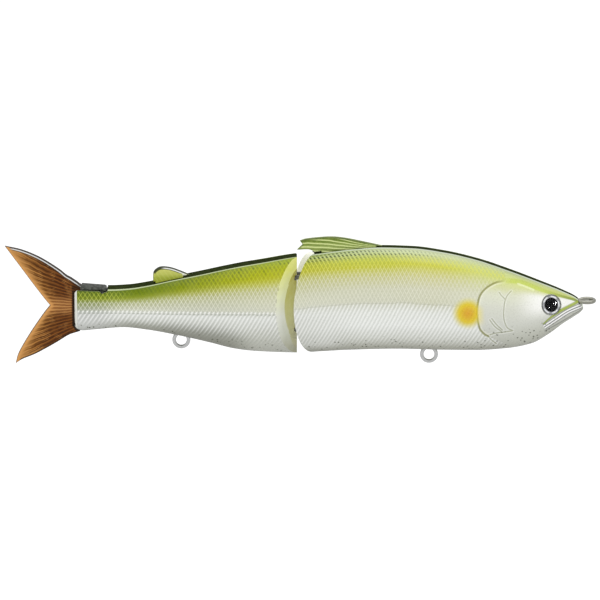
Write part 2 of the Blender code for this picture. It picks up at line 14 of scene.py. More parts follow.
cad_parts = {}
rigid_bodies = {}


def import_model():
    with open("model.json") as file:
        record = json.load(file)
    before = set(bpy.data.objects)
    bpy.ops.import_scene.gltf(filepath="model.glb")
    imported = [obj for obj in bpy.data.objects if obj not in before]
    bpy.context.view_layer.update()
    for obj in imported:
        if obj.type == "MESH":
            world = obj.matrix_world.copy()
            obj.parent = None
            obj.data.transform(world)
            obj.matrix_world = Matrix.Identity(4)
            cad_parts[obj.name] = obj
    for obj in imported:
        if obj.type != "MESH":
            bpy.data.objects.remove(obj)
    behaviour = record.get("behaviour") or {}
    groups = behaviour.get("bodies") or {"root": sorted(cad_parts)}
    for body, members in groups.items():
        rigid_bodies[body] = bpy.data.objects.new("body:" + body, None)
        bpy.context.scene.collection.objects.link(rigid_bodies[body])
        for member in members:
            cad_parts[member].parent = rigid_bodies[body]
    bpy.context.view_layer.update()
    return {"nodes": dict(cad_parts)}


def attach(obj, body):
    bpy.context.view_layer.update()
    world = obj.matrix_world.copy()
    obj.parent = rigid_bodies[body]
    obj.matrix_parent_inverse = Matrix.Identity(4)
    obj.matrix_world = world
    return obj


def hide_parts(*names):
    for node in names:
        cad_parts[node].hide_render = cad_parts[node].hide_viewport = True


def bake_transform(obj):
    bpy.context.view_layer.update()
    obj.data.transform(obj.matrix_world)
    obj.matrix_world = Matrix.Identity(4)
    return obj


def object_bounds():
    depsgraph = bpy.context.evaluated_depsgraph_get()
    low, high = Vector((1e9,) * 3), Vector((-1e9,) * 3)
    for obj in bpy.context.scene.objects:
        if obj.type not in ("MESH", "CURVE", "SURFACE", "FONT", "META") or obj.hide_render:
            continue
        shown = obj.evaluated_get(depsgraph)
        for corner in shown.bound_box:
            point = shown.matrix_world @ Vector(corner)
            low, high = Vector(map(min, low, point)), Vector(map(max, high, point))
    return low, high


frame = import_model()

scene = bpy.context.scene

# ---------------------------------------------------------------- dimensions
LENGTH = 0.178
UNIT = LENGTH / 188.3
SEAM = 0.15
WALL = 1.8
WIRE_R = 0.625
RING_R = 2.35
CLEAR = 0.30
TAIL_END_X = -167.1
RIDGE_X, RIDGE_HALF, WEDGE_SLOPE = -94.5, 1.8, 0.80
BAND_X, BAND_IN = 2.9, 3.0
NOTCH_X, NOTCH_HALF, NOTCH_SLOPE = -88.9, 0.8, 0.673
PIN_X, PIN_R, PIN_Z = -87.5, 0.8, (-11.2, 10.7)
EYE_Z = (8.4, -9.0)
EYE_ANCHOR_X = -104.5
HANGER = {"front": (-51.4, -18.16), "rear": (-132.2, -13.25)}
HANGER_PITCH = 6.2
EYE_X, EYE_ZC, EYE_R = -11.7, 0.45, 3.2
TAIL_AXIS_X, TAIL_HALF = -169.15, 1.1
FIN_HALF = 1.0
ELEVATION = math.radians(16)   # the view that the side layout below is drawn in

TOP = [(-167.1, 4.7), (-163.6, 4.65), (-159.3, 4.5), (-154.8, 4.45), (-149.0, 4.75), (-143.7, 5.55),
       (-135.0, 7.45), (-126.1, 9.3), (-117.6, 11.2), (-107.2, 13.3), (-96.8, 15.4), (-88.9, 16.25),
       (-77.9, 17.5), (-67.4, 18.3), (-57.0, 18.0), (-46.6, 16.55), (-36.2, 14.05), (-25.7, 10.4),
       (-15.3, 6.35), (-7.5, 3.1), (-3.3, 0.8), (-1.9, -0.9), (-1.2, -2.2)]
BOTTOM = [(-167.1, -10.3), (-159.3, -9.5), (-151.0, -8.85), (-143.7, -9.6), (-133.2, -11.55),
          (-122.8, -14.0), (-115.0, -16.0), (-107.2, -17.0), (-96.8, -17.4), (-88.9, -17.0), (-77.9, -16.45),
          (-62.2, -16.05), (-46.6, -16.4), (-36.2, -16.5), (-25.7, -15.85), (-18.0, -14.3), (-12.7, -11.3),
          (-7.5, -7.35), (-4.0, -5.1), (-1.9, -3.6), (-1.2, -2.7)]
WIDTH = [(-167.1, 2.8), (-159.3, 3.3), (-150.0, 4.2), (-133.0, 6.8), (-117.6, 8.9), (-107.2, 9.9),
         (-94.5, 10.6), (-80.0, 10.9), (-58.0, 11.1), (-40.0, 10.8), (-28.0, 10.0), (-18.5, 8.6),
         (-11.7, 6.9), (-7.5, 5.3), (-3.9, 3.3), (-2.2, 2.0), (-1.2, 0.5)]
WIDEST_Z = [(-167.1, -2.6), (-133.0, -1.6), (-94.5, 0.3), (-50.0, 0.6), (-25.0, -0.6), (-10.0, -1.6), (-1.2, -2.4)]
BACK = [(-167.1, 2.2), (-150.0, 2.4), (-100.0, 2.3), (-88.9, 1.6), (-75.0, 1.4), (-40.0, 1.3), (-12.0, 1.1),
        (-3.5, 0.8), (-1.2, 0.2)]
N_UP = [(-167.1, 3.2), (-145.0, 2.4), (-120.0, 1.9), (-100.0, 1.7), (-80.0, 1.75), (-50.0, 1.9), (-12.0, 2.0), (-1.2, 2.0)]
N_LOW = [(-167.1, 3.0), (-145.0, 2.3), (-120.0, 2.05), (-94.5, 2.0), (-40.0, 2.05), (-12.0, 2.0), (-1.2, 2.0)]

DORSAL = [(-86.6, 16.8), (-88.7, 16.5), (-90.6, 17.4), (-94.4, 17.3), (-92.6, 19.1), (-93.5, 20.3), (-91.0, 21.0),
          (-84.0, 21.6), (-79.0, 21.2), (-73.0, 20.0), (-66.8, 18.6), (-68.6, 18.45)]
DORSAL_TANG = [(-68.6, 15.0), (-86.6, 13.6)]
ADIPOSE = [(-129.6, 8.85), (-132.2, 10.0), (-135.2, 11.1), (-137.8, 11.5), (-139.5, 11.25), (-140.9, 10.2),
           (-141.3, 9.0), (-141.3, 6.4), (-140.6, 6.5)]
ADIPOSE_TANG = [(-140.6, 3.4), (-131.4, 5.6)]
ROOT_CAP = [(-164.6, 4.3), (-164.6, 5.45), (-157.0, 4.85), (-156.4, 4.45), (-156.6, 3.95), (-157.9, 3.3),
            (-158.7, 4.15)]

# side layout of the head's moulded lines and paint: (x, height as seen from ELEVATION above)
GILL = [(-27.3, 6.2), (-30.0, 5.6), (-32.7, 4.1), (-34.6, 2.1), (-35.5, -0.3), (-35.8, -3.6), (-35.5, -6.8),
        (-34.9, -9.2), (-33.5, -10.8), (-32.4, -11.4)]
GILL_LOW = [(-32.4, -11.4), (-30.3, -10.7), (-27.4, -10.3), (-24.6, -9.9)]
GILL_TAIL = [(-32.4, -11.4), (-31.4, -12.7), (-29.6, -14.0)]
NAPE = [(-29.6, 14.5), (-27.4, 10.6), (-26.4, 8.0), (-27.3, 6.2)]
PREOPERCLE = [(-24.9, 3.1), (-26.2, 1.6), (-27.0, -0.3), (-27.3, -2.7), (-27.4, -4.6), (-27.2, -6.4), (-26.8, -7.6),
              (-26.0, -9.0), (-24.3, -9.8)]
BRANCH = [(-28.9, 2.7), (-28.1, 1.6), (-26.9, 0.4)]
LOWER_1 = [(-31.9, -6.3), (-30.3, -8.4), (-28.1, -10.0)]
LOWER_2 = [(-31.2, -5.9), (-29.5, -8.0), (-27.7, -9.6)]
RIDGE = [(-3.0, -0.3), (-4.4, -1.1), (-7.6, -2.7), (-9.5, -3.8), (-12.2, -5.7), (-14.3, -7.6)]
LIP = [(-14.3, -8.8), (-9.8, -5.8), (-6.2, -3.5), (-2.0, -1.7)]
JAW = [(-14.2, -10.1), (-9.8, -7.7), (-5.5, -5.2), (-1.6, -2.8)]
CROWN = [(-30.0, 6.4), (-25.1, 6.4), (-21.8, 6.0), (-18.2, 4.7), (-14.3, 3.2), (-9.8, 1.8), (-3.3, 0.0)]
# pale streak along the crown: a painted highlight
CROWN_HIGHLIGHT = [(-22.7, 5.4), (-19.9, 4.4), (-17.6, 3.4)]
SPOT = (-39.0, -4.2)
LINE_REAR = [(-167.0, -2.95), (-133.0, -2.1), (-102.0, -1.3), (-94.0, -1.1)]
LINE_FRONT = [(-96.0, -0.1), (-88.0, 0.9), (-77.2, 1.9), (-60.9, 2.26), (-43.0, 1.24), (-20.0, 0.5), (0.0, 0.0)]


# ------------------------------------------------------------------- helpers
def smooth(points):
    """A curve through the control points that doesn't overshoot them."""
    xs = [p[0] for p in points]
    ys = [p[1] for p in points]
    n = len(xs)
    d = [(ys[i + 1] - ys[i]) / (xs[i + 1] - xs[i]) for i in range(n - 1)]
    m = [d[0]] + [0.0] * (n - 2) + [d[-1]]
    for i in range(1, n - 1):
        if d[i - 1] * d[i] > 0:
            w1 = 2 * (xs[i + 1] - xs[i]) + (xs[i] - xs[i - 1])
            w2 = (xs[i + 1] - xs[i]) + 2 * (xs[i] - xs[i - 1])
            m[i] = (w1 + w2) / (w1 / d[i - 1] + w2 / d[i])

    def f(x):
        if x <= xs[0]:
            return ys[0]
        if x >= xs[-1]:
            return ys[-1]
        i = max(j for j in range(n - 1) if xs[j] <= x)
        h = xs[i + 1] - xs[i]
        t = (x - xs[i]) / h
        return ((2 * t ** 3 - 3 * t ** 2 + 1) * ys[i] + (t ** 3 - 2 * t ** 2 + t) * h * m[i]
                + (-2 * t ** 3 + 3 * t ** 2) * ys[i + 1] + (t ** 3 - t ** 2) * h * m[i + 1])
    return f


f_top, f_bottom, f_width = smooth(TOP), smooth(BOTTOM), smooth(WIDTH)
f_mid, f_back, f_nu, f_nl = smooth(WIDEST_Z), smooth(BACK), smooth(N_UP), smooth(N_LOW)
f_line_rear, f_line_front = smooth(LINE_REAR), smooth(LINE_FRONT)


def section(x, inset=0.0, top=None, bottom=None, z_in=None, up=6, low=7):
    """Half section at x from the back seam, round the side, to the belly seam, as (y, z) pairs with y >= 0."""
    w = max(f_width(x) - inset, SEAM)
    z_in = inset if z_in is None else z_in
    zt = (f_top(x) - z_in) if top is None else top
    zb = (f_bottom(x) + z_in) if bottom is None else bottom
    zm = min(max(f_mid(x), zb + 0.15 * (zt - zb)), zt - 0.15 * (zt - zb))
    b = min(max(f_back(x) - 0.5 * inset, SEAM), w)
    pts = [(SEAM, zt)]
    for i in range(up):
        a = math.radians(90 - 90 * i / up)
        e = 2 / f_nu(x)
        pts.append((b + (w - b) * math.cos(a) ** e if i else b, zm + (zt - zm) * math.sin(a) ** e))
    for i in range(low + 1):
        a = math.radians(90 * i / low)
        e = 2 / f_nl(x)
        c = math.cos(a) if i < low else 0.0
        pts.append((max(w * c ** e, SEAM), zm - (zm - zb) * math.sin(a) ** e))
    return pts


N_BACK, N_SIDE = 9, 150


def ring(x, inset=0.0, z_in=None, n_back=N_BACK, n_side=N_SIDE, top=None, bottom=None):
    """The same half section with its points spread evenly along the skin: arrays y, z of n_back + n_side + 1 points."""
    pts = np.array(section(x, inset, top, bottom, z_in, up=60, low=60))
    back, side = pts[:2], pts[1:]
    t = np.linspace(0, 1, n_back + 1)[:-1]
    yb = back[0, 0] + (back[1, 0] - back[0, 0]) * t
    zb = back[0, 1] + (back[1, 1] - back[0, 1]) * t
    run = np.concatenate([[0], np.cumsum(np.hypot(*np.diff(side, axis=0).T))])
    t = np.linspace(0, run[-1], n_side + 1)
    return np.concatenate([yb, np.interp(t, run, side[:, 0])]), np.concatenate([zb, np.interp(t, run, side[:, 1])])


def curve_through(points, step=0.35, closed=False):
    """Points spread along a smooth curve through the control points."""
    p = [np.array(q, float) for q in points]
    n = len(p)
    out = []
    last = n if closed else n - 1
    for i in range(last):
        p0 = p[(i - 1) % n] if closed or i > 0 else 2 * p[0] - p[1]
        p1, p2 = p[i], p[(i + 1) % n]
        p3 = p[(i + 2) % n] if closed or i + 2 < n else 2 * p[-1] - p[-2]
        k = max(2, int(np.linalg.norm(p2 - p1) / step))
        for j in range(k):
            t = j / k
            out.append(0.5 * (2 * p1 + (p2 - p0) * t + (2 * p0 - 5 * p1 + 4 * p2 - p3) * t * t
                              + (3 * p1 - p0 - 3 * p2 + p3) * t ** 3))
    if not closed:
        out.append(p[-1])
    return np.array(out)


def far_from(points, u, v, signed=False, closed=False):
    """Distance of each (u, v) to a polyline, and the share of its length where the nearest point lies."""
    pts = np.asarray(points, float)
    segs = list(zip(pts, np.roll(pts, -1, axis=0) if closed else pts[1:]))
    if not closed:
        segs = list(zip(pts[:-1], pts[1:]))
    best = np.full(u.shape, 1e9)
    sign = np.ones(u.shape)
    where = np.zeros(u.shape)
    for i, (a, b) in enumerate(segs):
        d = b - a
        L2 = max(float(d @ d), 1e-12)
        t = np.clip(((u - a[0]) * d[0] + (v - a[1]) * d[1]) / L2, 0, 1)
        q = np.hypot(u - a[0] - t * d[0], v - a[1] - t * d[1])
        s = np.sign((u - a[0]) * d[1] - (v - a[1]) * d[0])
        near = q < best
        best = np.where(near, q, best)
        sign = np.where(near, s, sign)
        where = np.where(near, (i + t) / len(segs), where)
    return (best * sign if signed else best), where


def inside(poly, u, v):
    """Which points lie inside a closed outline."""
    b = np.asarray(poly, float)
    hit = np.zeros(u.shape, bool)
    for a, c in zip(b, np.roll(b, -1, 0)):
        if a[1] == c[1]:
            continue
        cross = (a[1] > v) != (c[1] > v)
        hit ^= cross & (u < (c[0] - a[0]) * (v - a[1]) / (c[1] - a[1]) + a[0])
    return hit


def ease(x, lo, hi):
    t = np.clip((x - lo) / (hi - lo), 0, 1)
    return t * t * (3 - 2 * t)


# ------------------------------------------------------- skin coordinates
class Skin:
    """Where a point lies on the skin of one section: s is the distance round the skin from the lateral line,
    positive towards the back; hn is s as a share of the distance to the back's edge or the belly's seam."""

    def __init__(self, x0, x1, front):
        self.front = front
        self.xs = np.arange(x0, x1 + 0.01, 0.5)
        rows = []
        f_line = f_line_front if front else f_line_rear
        for x in self.xs:
            y, z = ring(x, n_back=6, n_side=180)
            run = np.concatenate([[0], np.cumsum(np.hypot(np.diff(y), np.diff(z)))])
            zl = f_line(x)
            k = 6 + int(np.argmin(np.abs(z[6:-30] - zl))) if len(z) > 40 else 6
            line = run[k]
            rows.append((y, z, line - run, line - run[6], line - run[-1]))
        self.Y, self.Z, self.S = (np.array([r[i] for r in rows]) for i in range(3))
        self.top = np.array([r[3] for r in rows])
        self.low = np.array([r[4] for r in rows])

    def read(self, x, y, z):
        """x, |y|, z arrays -> s, hn, edge (distance below the back's edge), depth under the skin."""
        out = [np.zeros(len(x)) for _ in range(4)]
        for a in range(0, len(x), 20000):
            sl = slice(a, a + 20000)
            g = np.clip((x[sl] - self.xs[0]) / 0.5, 0, len(self.xs) - 1.001)
            i = g.astype(int)
            t = (g - i)[:, None]
            Y = self.Y[i] * (1 - t) + self.Y[i + 1] * t
            Z = self.Z[i] * (1 - t) + self.Z[i + 1] * t
            S = self.S[i] * (1 - t) + self.S[i + 1] * t
            ax, az = Y[:, :-1], Z[:, :-1]
            dx, dz = np.diff(Y, axis=1), np.diff(Z, axis=1)
            L2 = np.maximum(dx * dx + dz * dz, 1e-9)
            u = np.clip(((y[sl, None] - ax) * dx + (z[sl, None] - az) * dz) / L2, 0, 1)
            q = np.hypot(y[sl, None] - ax - u * dx, z[sl, None] - az - u * dz)
            k = np.argmin(q, axis=1)
            r = np.arange(len(k))
            s = S[r, k] + (S[r, k + 1] - S[r, k]) * u[r, k]
            top = self.top[i] * (1 - t[:, 0]) + self.top[i + 1] * t[:, 0]
            low = self.low[i] * (1 - t[:, 0]) + self.low[i + 1] * t[:, 0]
            out[0][sl] = s
            out[1][sl] = np.where(s > 0, s / np.maximum(top, 0.3), -s / np.minimum(low, -0.3))
            out[2][sl] = top - s
            out[3][sl] = q[r, k]
        return out


skins = {"front": Skin(-97.0, -1.2, True), "rear": Skin(-167.1, -94.0, False)}
gill_line, nape_line = curve_through(GILL), curve_through(NAPE)
head_edge = np.concatenate([nape_line[:-1], gill_line])
thin_lines = [curve_through(c) for c in (PREOPERCLE, BRANCH, LOWER_1, LOWER_2, GILL_LOW, GILL_TAIL)]
ridge_line, lip_line, jaw_line = curve_through(RIDGE), curve_through(LIP), curve_through(JAW)
crown_line, crown_highlight_line = curve_through(CROWN), curve_through(CROWN_HIGHLIGHT)


def layout(x, y, z):
    return x, z * math.cos(ELEVATION) - np.abs(y) * math.sin(ELEVATION)


def marks(part, x, y, z):
    """Every skin coordinate that the relief and the paint use."""
    s, hn, edge, depth = skins[part].read(x, np.abs(y), z)
    u, w = layout(x, y, z)
    m = {"ux": x, "s": s, "hn": hn, "edge": edge, "depth": depth, "uw": w}
    if part == "front":
        pitch, tall = 1.31, 2.65
    else:
        pitch = np.interp(x, [-167, -120, -94], [1.46, 1.38, 1.31])
        tall = np.interp(x, [-167, -130, -94], [2.2, 2.35, 2.6])
    run = x / pitch if np.isscalar(pitch) else rear_run(x)
    m["la"] = run + s / tall
    m["lb"] = run - s / tall
    if part == "front":
        g, where = far_from(head_edge, u, w, signed=True)
        m["gill"] = -g
        m["gill_at"] = where
        m["thin"] = np.min([far_from(c, u, w)[0] for c in thin_lines], axis=0)
        m["ridge"], m["ridge_at"] = far_from(ridge_line, u, w)
        m["lip"], m["lip_at"] = far_from(lip_line, u, w, signed=True)
        m["jaw"], m["jaw_at"] = far_from(jaw_line, u, w, signed=True)
        m["crown"], m["crown_at"] = far_from(crown_line, u, w, signed=True)
        # streak: distance to the crown's painted highlight
        m["streak"], _ = far_from(crown_highlight_line, u, w)
        m["spot"] = np.hypot(u - SPOT[0], (w - SPOT[1]))
    return m


_rx = np.linspace(-170, -90, 801)
_rp = np.interp(_rx, [-167, -120, -94], [1.46, 1.38, 1.31])
_rr = np.concatenate([[0], np.cumsum(np.diff(_rx) / (0.5 * (_rp[1:] + _rp[:-1])))])


def rear_run(x):
    return np.interp(x, _rx, _rr)


def tri(t):
    """Distance of t to the nearest whole number, 0 to 0.5."""
    return np.abs(t - np.round(t))


def relief(part, m):
    """Height of the moulded detail above the plain skin, in drawing units."""
    hn, edge, s = m["hn"], m["edge"], m["s"]
    up = ease(s, -0.6, 0.6)
    la, lb = tri(m["la"]), tri(m["lb"])
    net = np.maximum(np.exp(-(la / 0.13) ** 2), np.exp(-(lb / 0.13) ** 2))
    scales = up * (0.055 * net - 0.03) + (1 - up) * (0.055 * np.cos(2 * math.pi * m["lb"]))
    fade = ease(edge, 0.5, 1.6) * (1 - ease(-hn, 0.72, 0.95))
    h = np.zeros_like(s)
    if part == "front":
        body = 1 - ease(m["gill"], -0.5, -0.1)
        h += scales * fade * body
        on = ease(m["gill_at"], 0.25, 0.42)
        g = m["gill"]
        h += on * (0.20 * ease(g, -0.05, 0.45) * (1 - ease(g, 1.2, 6.0)) - 0.16 * np.exp(-((g + 0.12) / 0.24) ** 2))
        h -= 0.10 * np.exp(-(m["thin"] / 0.20) ** 2)
        h += 0.05 * np.exp(-((m["thin"] - 0.42) / 0.22) ** 2)
        end = 1 - ease(m["ridge_at"], 0.55, 1.0)
        h += 0.16 * np.exp(-(m["ridge"] / 0.42) ** 2) * (0.25 + 0.75 * end)
        bar = ease(m["lip_at"], 0.0, 0.06) * (1 - ease(m["lip_at"], 0.985, 1.0) * 0)
        h += bar * (0.17 * (1 - ease(np.abs(m["lip"]), 0.35, 0.75)) - 0.20 * np.exp(-(m["lip"] / 0.17) ** 2))
        h -= 0.12 * np.exp(-(m["jaw"] / 0.2) ** 2) * ease(m["jaw_at"], 0.0, 0.08)
        h += 0.10 * np.exp(-(m["crown"] / 0.8) ** 2) * ease(m["crown_at"], 0.1, 0.3)
    else:
        h += scales * fade * ease(m["ux"], TAIL_END_X + 0.8, TAIL_END_X + 2.4)
    h -= 0.05 * np.exp(-((s + 0.1) / 0.22) ** 2) * (1 if part == "rear" else 1 - ease(m["gill"], -0.5, -0.1))
    h += 0.10 * np.exp(-((edge - 0.25) / 0.30) ** 2)          # bead along the edge of the back
    return h


# --------------------------------------------------------------- mesh makers
def solid(name, P, faces, coll=None):
    """Mesh object from points (drawing units) and faces, with coincident points merged and empty faces dropped."""
    key = np.round(P * 1e4).astype(np.int64)
    _, first, inv = np.unique(key, axis=0, return_index=True, return_inverse=True)
    inv = inv.reshape(-1)
    order = np.argsort(first)
    rank = np.empty_like(order)
    rank[order] = np.arange(len(order))
    P2, inv = P[first[order]], rank[inv]
    out = []
    for f in faces:
        g = [int(inv[i]) for i in f]
        g = [a for i, a in enumerate(g) if a != g[i - 1]]
        if len(g) >= 3 and len(set(g)) == len(g):
            out.append(g)
    me = bpy.data.meshes.new(name)
    me.from_pydata([tuple(p) for p in P2 * UNIT], [], out)
    me.update()
    bm = bmesh.new()
    bm.from_mesh(me)
    bmesh.ops.recalc_face_normals(bm, faces=bm.faces)
    bm.to_mesh(me)
    bm.free()
    ob = bpy.data.objects.new(name, me)
    (coll or scene.collection).objects.link(ob)
    return ob


def half_solid(name, X, Y, Z):
    """Closed half: columns (first axis) of a grid from rear to front, whose first and last lie on the seam plane."""
    nc, nr = X.shape
    P = np.stack([X, Y, Z], axis=-1).reshape(-1, 3)
    faces = []
    for c in range(nc - 1):
        a = c * nr
        for r in range(nr - 1):
            faces.append((a + r, a + r + 1, a + nr + r + 1, a + nr + r))
    loop = [c * nr for c in range(nc)] + [(nc - 1) * nr + r for r in range(1, nr - 1)]
    loop += [c * nr + nr - 1 for c in range(nc - 1, -1, -1)] + [r for r in range(nr - 2, 0, -1)]
    faces.append(loop)
    return solid(name, P, faces)


def grid_normals(X, Y, Z):
    P = np.stack([X, Y, Z], axis=-1)
    du = np.gradient(P, axis=0)
    dv = np.gradient(P, axis=1)
    n = np.cross(dv, du)
    n /= np.maximum(np.linalg.norm(n, axis=-1, keepdims=True), 1e-9)
    flip = np.sign((n[..., 1] * 1.0).mean())
    return n * (flip if flip else 1)


def tube(name, points, radius, closed=True, sides=16):
    """Round wire swept along a line without twist."""
    p = np.array(points, float)
    n = len(p)
    tan = (np.roll(p, -1, 0) - np.roll(p, 1, 0)) if closed else np.gradient(p, axis=0)
    tan /= np.linalg.norm(tan, axis=1, keepdims=True)
    ref = np.array([0.0, 0.0, 1.0]) if abs(tan[0, 2]) < 0.9 else np.array([0.0, 1.0, 0.0])
    u = ref - tan[0] * (ref @ tan[0])
    us = []
    for i in range(n):
        u = u - tan[i] * (u @ tan[i])
        u = u / np.linalg.norm(u)
        us.append(u)
    P, faces = [], []
    for i in range(n):
        v = np.cross(tan[i], us[i])
        for k in range(sides):
            a = 2 * math.pi * k / sides
            P.append(p[i] + radius * (math.cos(a) * us[i] + math.sin(a) * v))
    for i in range(n if closed else n - 1):
        j = (i + 1) % n
        for k in range(sides):
            faces.append((i * sides + k, i * sides + (k + 1) % sides, j * sides + (k + 1) % sides, j * sides + k))
    if not closed:
        faces.append(tuple(range(sides)))
        faces.append(tuple((n - 1) * sides + k for k in range(sides)))
    return solid(name, np.array(P), faces)


def prism(name, outline, lo, hi, axis="z"):
    """Outline in XY between two heights, or in XZ between two values of Y."""
    n = len(outline)
    P = []
    for v in (lo, hi):
        for a, b in outline:
            P.append((a, b, v) if axis == "z" else (a, v, b))
    faces = [tuple(range(n)), tuple(range(2 * n - 1, n - 1, -1))]
    faces += [(i, (i + 1) % n, n + (i + 1) % n, n + i) for i in range(n)]
    return solid(name, np.array(P, float), faces)


def lathe(name, profile, matrix, segs=64):
    """Closed turned solid about local Z: profile (r, z) from the axis round to the axis; matrix places it."""
    P, faces = [], []
    for r, z in profile:
        for k in range(segs):
            a = 2 * math.pi * k / segs
            P.append(matrix @ Vector((r * math.cos(a), r * math.sin(a), z)))
    for i in range(len(profile) - 1):
        for k in range(segs):
            j = (k + 1) % segs
            faces.append((i * segs + k, i * segs + j, (i + 1) * segs + j, (i + 1) * segs + k))
    return solid(name, np.array([tuple(q) for q in P]), faces)


def cut(ob, cutters, op="DIFFERENCE"):
    """Applied Boolean; the cutters are removed by the caller."""
    for c in cutters:
        m = ob.modifiers.new(c.name, "BOOLEAN")
        m.operation, m.object, m.solver = op, c, "MANIFOLD"
    bpy.context.view_layer.update()
    dg = bpy.context.evaluated_depsgraph_get()
    me = bpy.data.meshes.new_from_object(ob.evaluated_get(dg))
    before = len(ob.data.vertices)
    ob.modifiers.clear()
    ob.data = me
    print("cut", ob.name, before, "->", len(me.vertices))
    return ob


def numbers(me, name, values):
    a = me.attributes.get(name) or me.attributes.new(name, "FLOAT", "POINT")
    a.data.foreach_set("value", np.asarray(values, np.float32))


def coords(me):
    co = np.zeros(len(me.vertices) * 3, np.float32)
    me.vertices.foreach_get("co", co)
    return co.reshape(-1, 3).astype(float) / UNIT


def mirrored(ob, name):
    """The same mesh on the other side of the centre plane."""
    me = ob.data.copy()
    me.transform(Matrix.Scale(-1, 4, (0, 1, 0)))
    me.flip_normals()
    new = bpy.data.objects.new(name, me)
    scene.collection.objects.link(new)
    return new


def shade(ob, degrees=35):
    ob.data.shade_smooth()
    ob.data.set_sharp_from_angle(angle=math.radians(degrees))


def arc(cx, cy, r, a0, a1, n):
    return [(cx + r * math.cos(math.radians(a0 + (a1 - a0) * i / n)),
             cy + r * math.sin(math.radians(a0 + (a1 - a0) * i / n))) for i in range(n + 1)]


def figure_eight(r1, r2, pitch, waist, n=30):
    """Right half of a two-loop wire eye along +u: ring of r1 at u=0, ring of r2 at u=pitch, waist at v=waist."""
    lo, hi = 0.01, 60.0
    for _ in range(60):
        rf = (lo + hi) / 2
        v = waist + rf
        d1, d2 = r1 + rf, r2 + rf
        if d1 <= v or d2 <= v:
            lo = rf
            continue
        if math.sqrt(d1 * d1 - v * v) + math.sqrt(d2 * d2 - v * v) < pitch:
            lo = rf
        else:
            hi = rf
    v = waist + rf
    u = math.sqrt((r1 + rf) ** 2 - v * v)
    t1 = math.degrees(math.atan2(v, u))
    t2 = math.degrees(math.atan2(v, pitch - u))
    pts = arc(0, 0, r1, 180, t1, n)
    pts += arc(u, v, rf, 180 + t1, 360 - t2, 14)[1:]
    pts += arc(pitch, 0, r2, 180 - t2, 0, n)[1:]
    return pts


def hanger_points(cx, cz, n=30):
    half = figure_eight(RING_R, RING_R, HANGER_PITCH, 1.1, n)
    return [(cx + v, 0, cz + u) for u, v in half] + [(cx - v, 0, cz + u) for u, v in half[-2:0:-1]]


def tie_points(side, n=30):
    half = figure_eight(RING_R, 1.6, 8.3, 0.69, n)
    drop = math.tan(math.radians(9))
    return [(-u, side * v, -max(u - 1.5, 0) * drop) for u, v in half]


def eye_points(z, n=30):
    pts = arc(PIN_X, 0, RING_R, -90, 90, n) + arc(EYE_ANCHOR_X, 0, RING_R, 90, 270, n)
    return [(x, y, z) for x, y in pts]


def surface_frame(x, z_target, side):
    def y_at(xx, zz):
        sec = section(xx)
        for (y0, z0), (y1, z1) in zip(sec[1:], sec[2:]):
            if z1 <= zz <= z0:
                return y0 + (y1 - y0) * (z0 - zz) / (z0 - z1)
        return sec[-1][0]
    y = y_at(x, z_target)
    dydx = (y_at(x + 1.5, z_target) - y_at(x - 1.5, z_target)) / 3
    dydz = (y_at(x, z_target + 1.5) - y_at(x, z_target - 1.5)) / 3
    nrm = Vector((-dydx, 1, -dydz)).normalized()
    return Vector((x, side * y, z_target)), Vector((nrm.x, side * nrm.y, nrm.z))


def stand(centre, normal):
    return Matrix.Translation(centre) @ normal.to_track_quat("Z", "Y").to_matrix().to_4x4()


# ------------------------------------------------------------------ materials
GLOSS = 0.0    # what a clear coat adds to a tone seen through it, taken off the pigment under it


def srgb(r, g, b):
    lin = ((v / 255 / 12.92) if v / 255 <= 0.04045 else ((v / 255 + 0.055) / 1.055) ** 2.4 for v in (r, g, b))
    return tuple(max(v - GLOSS, min(v, 0.004)) for v in lin)


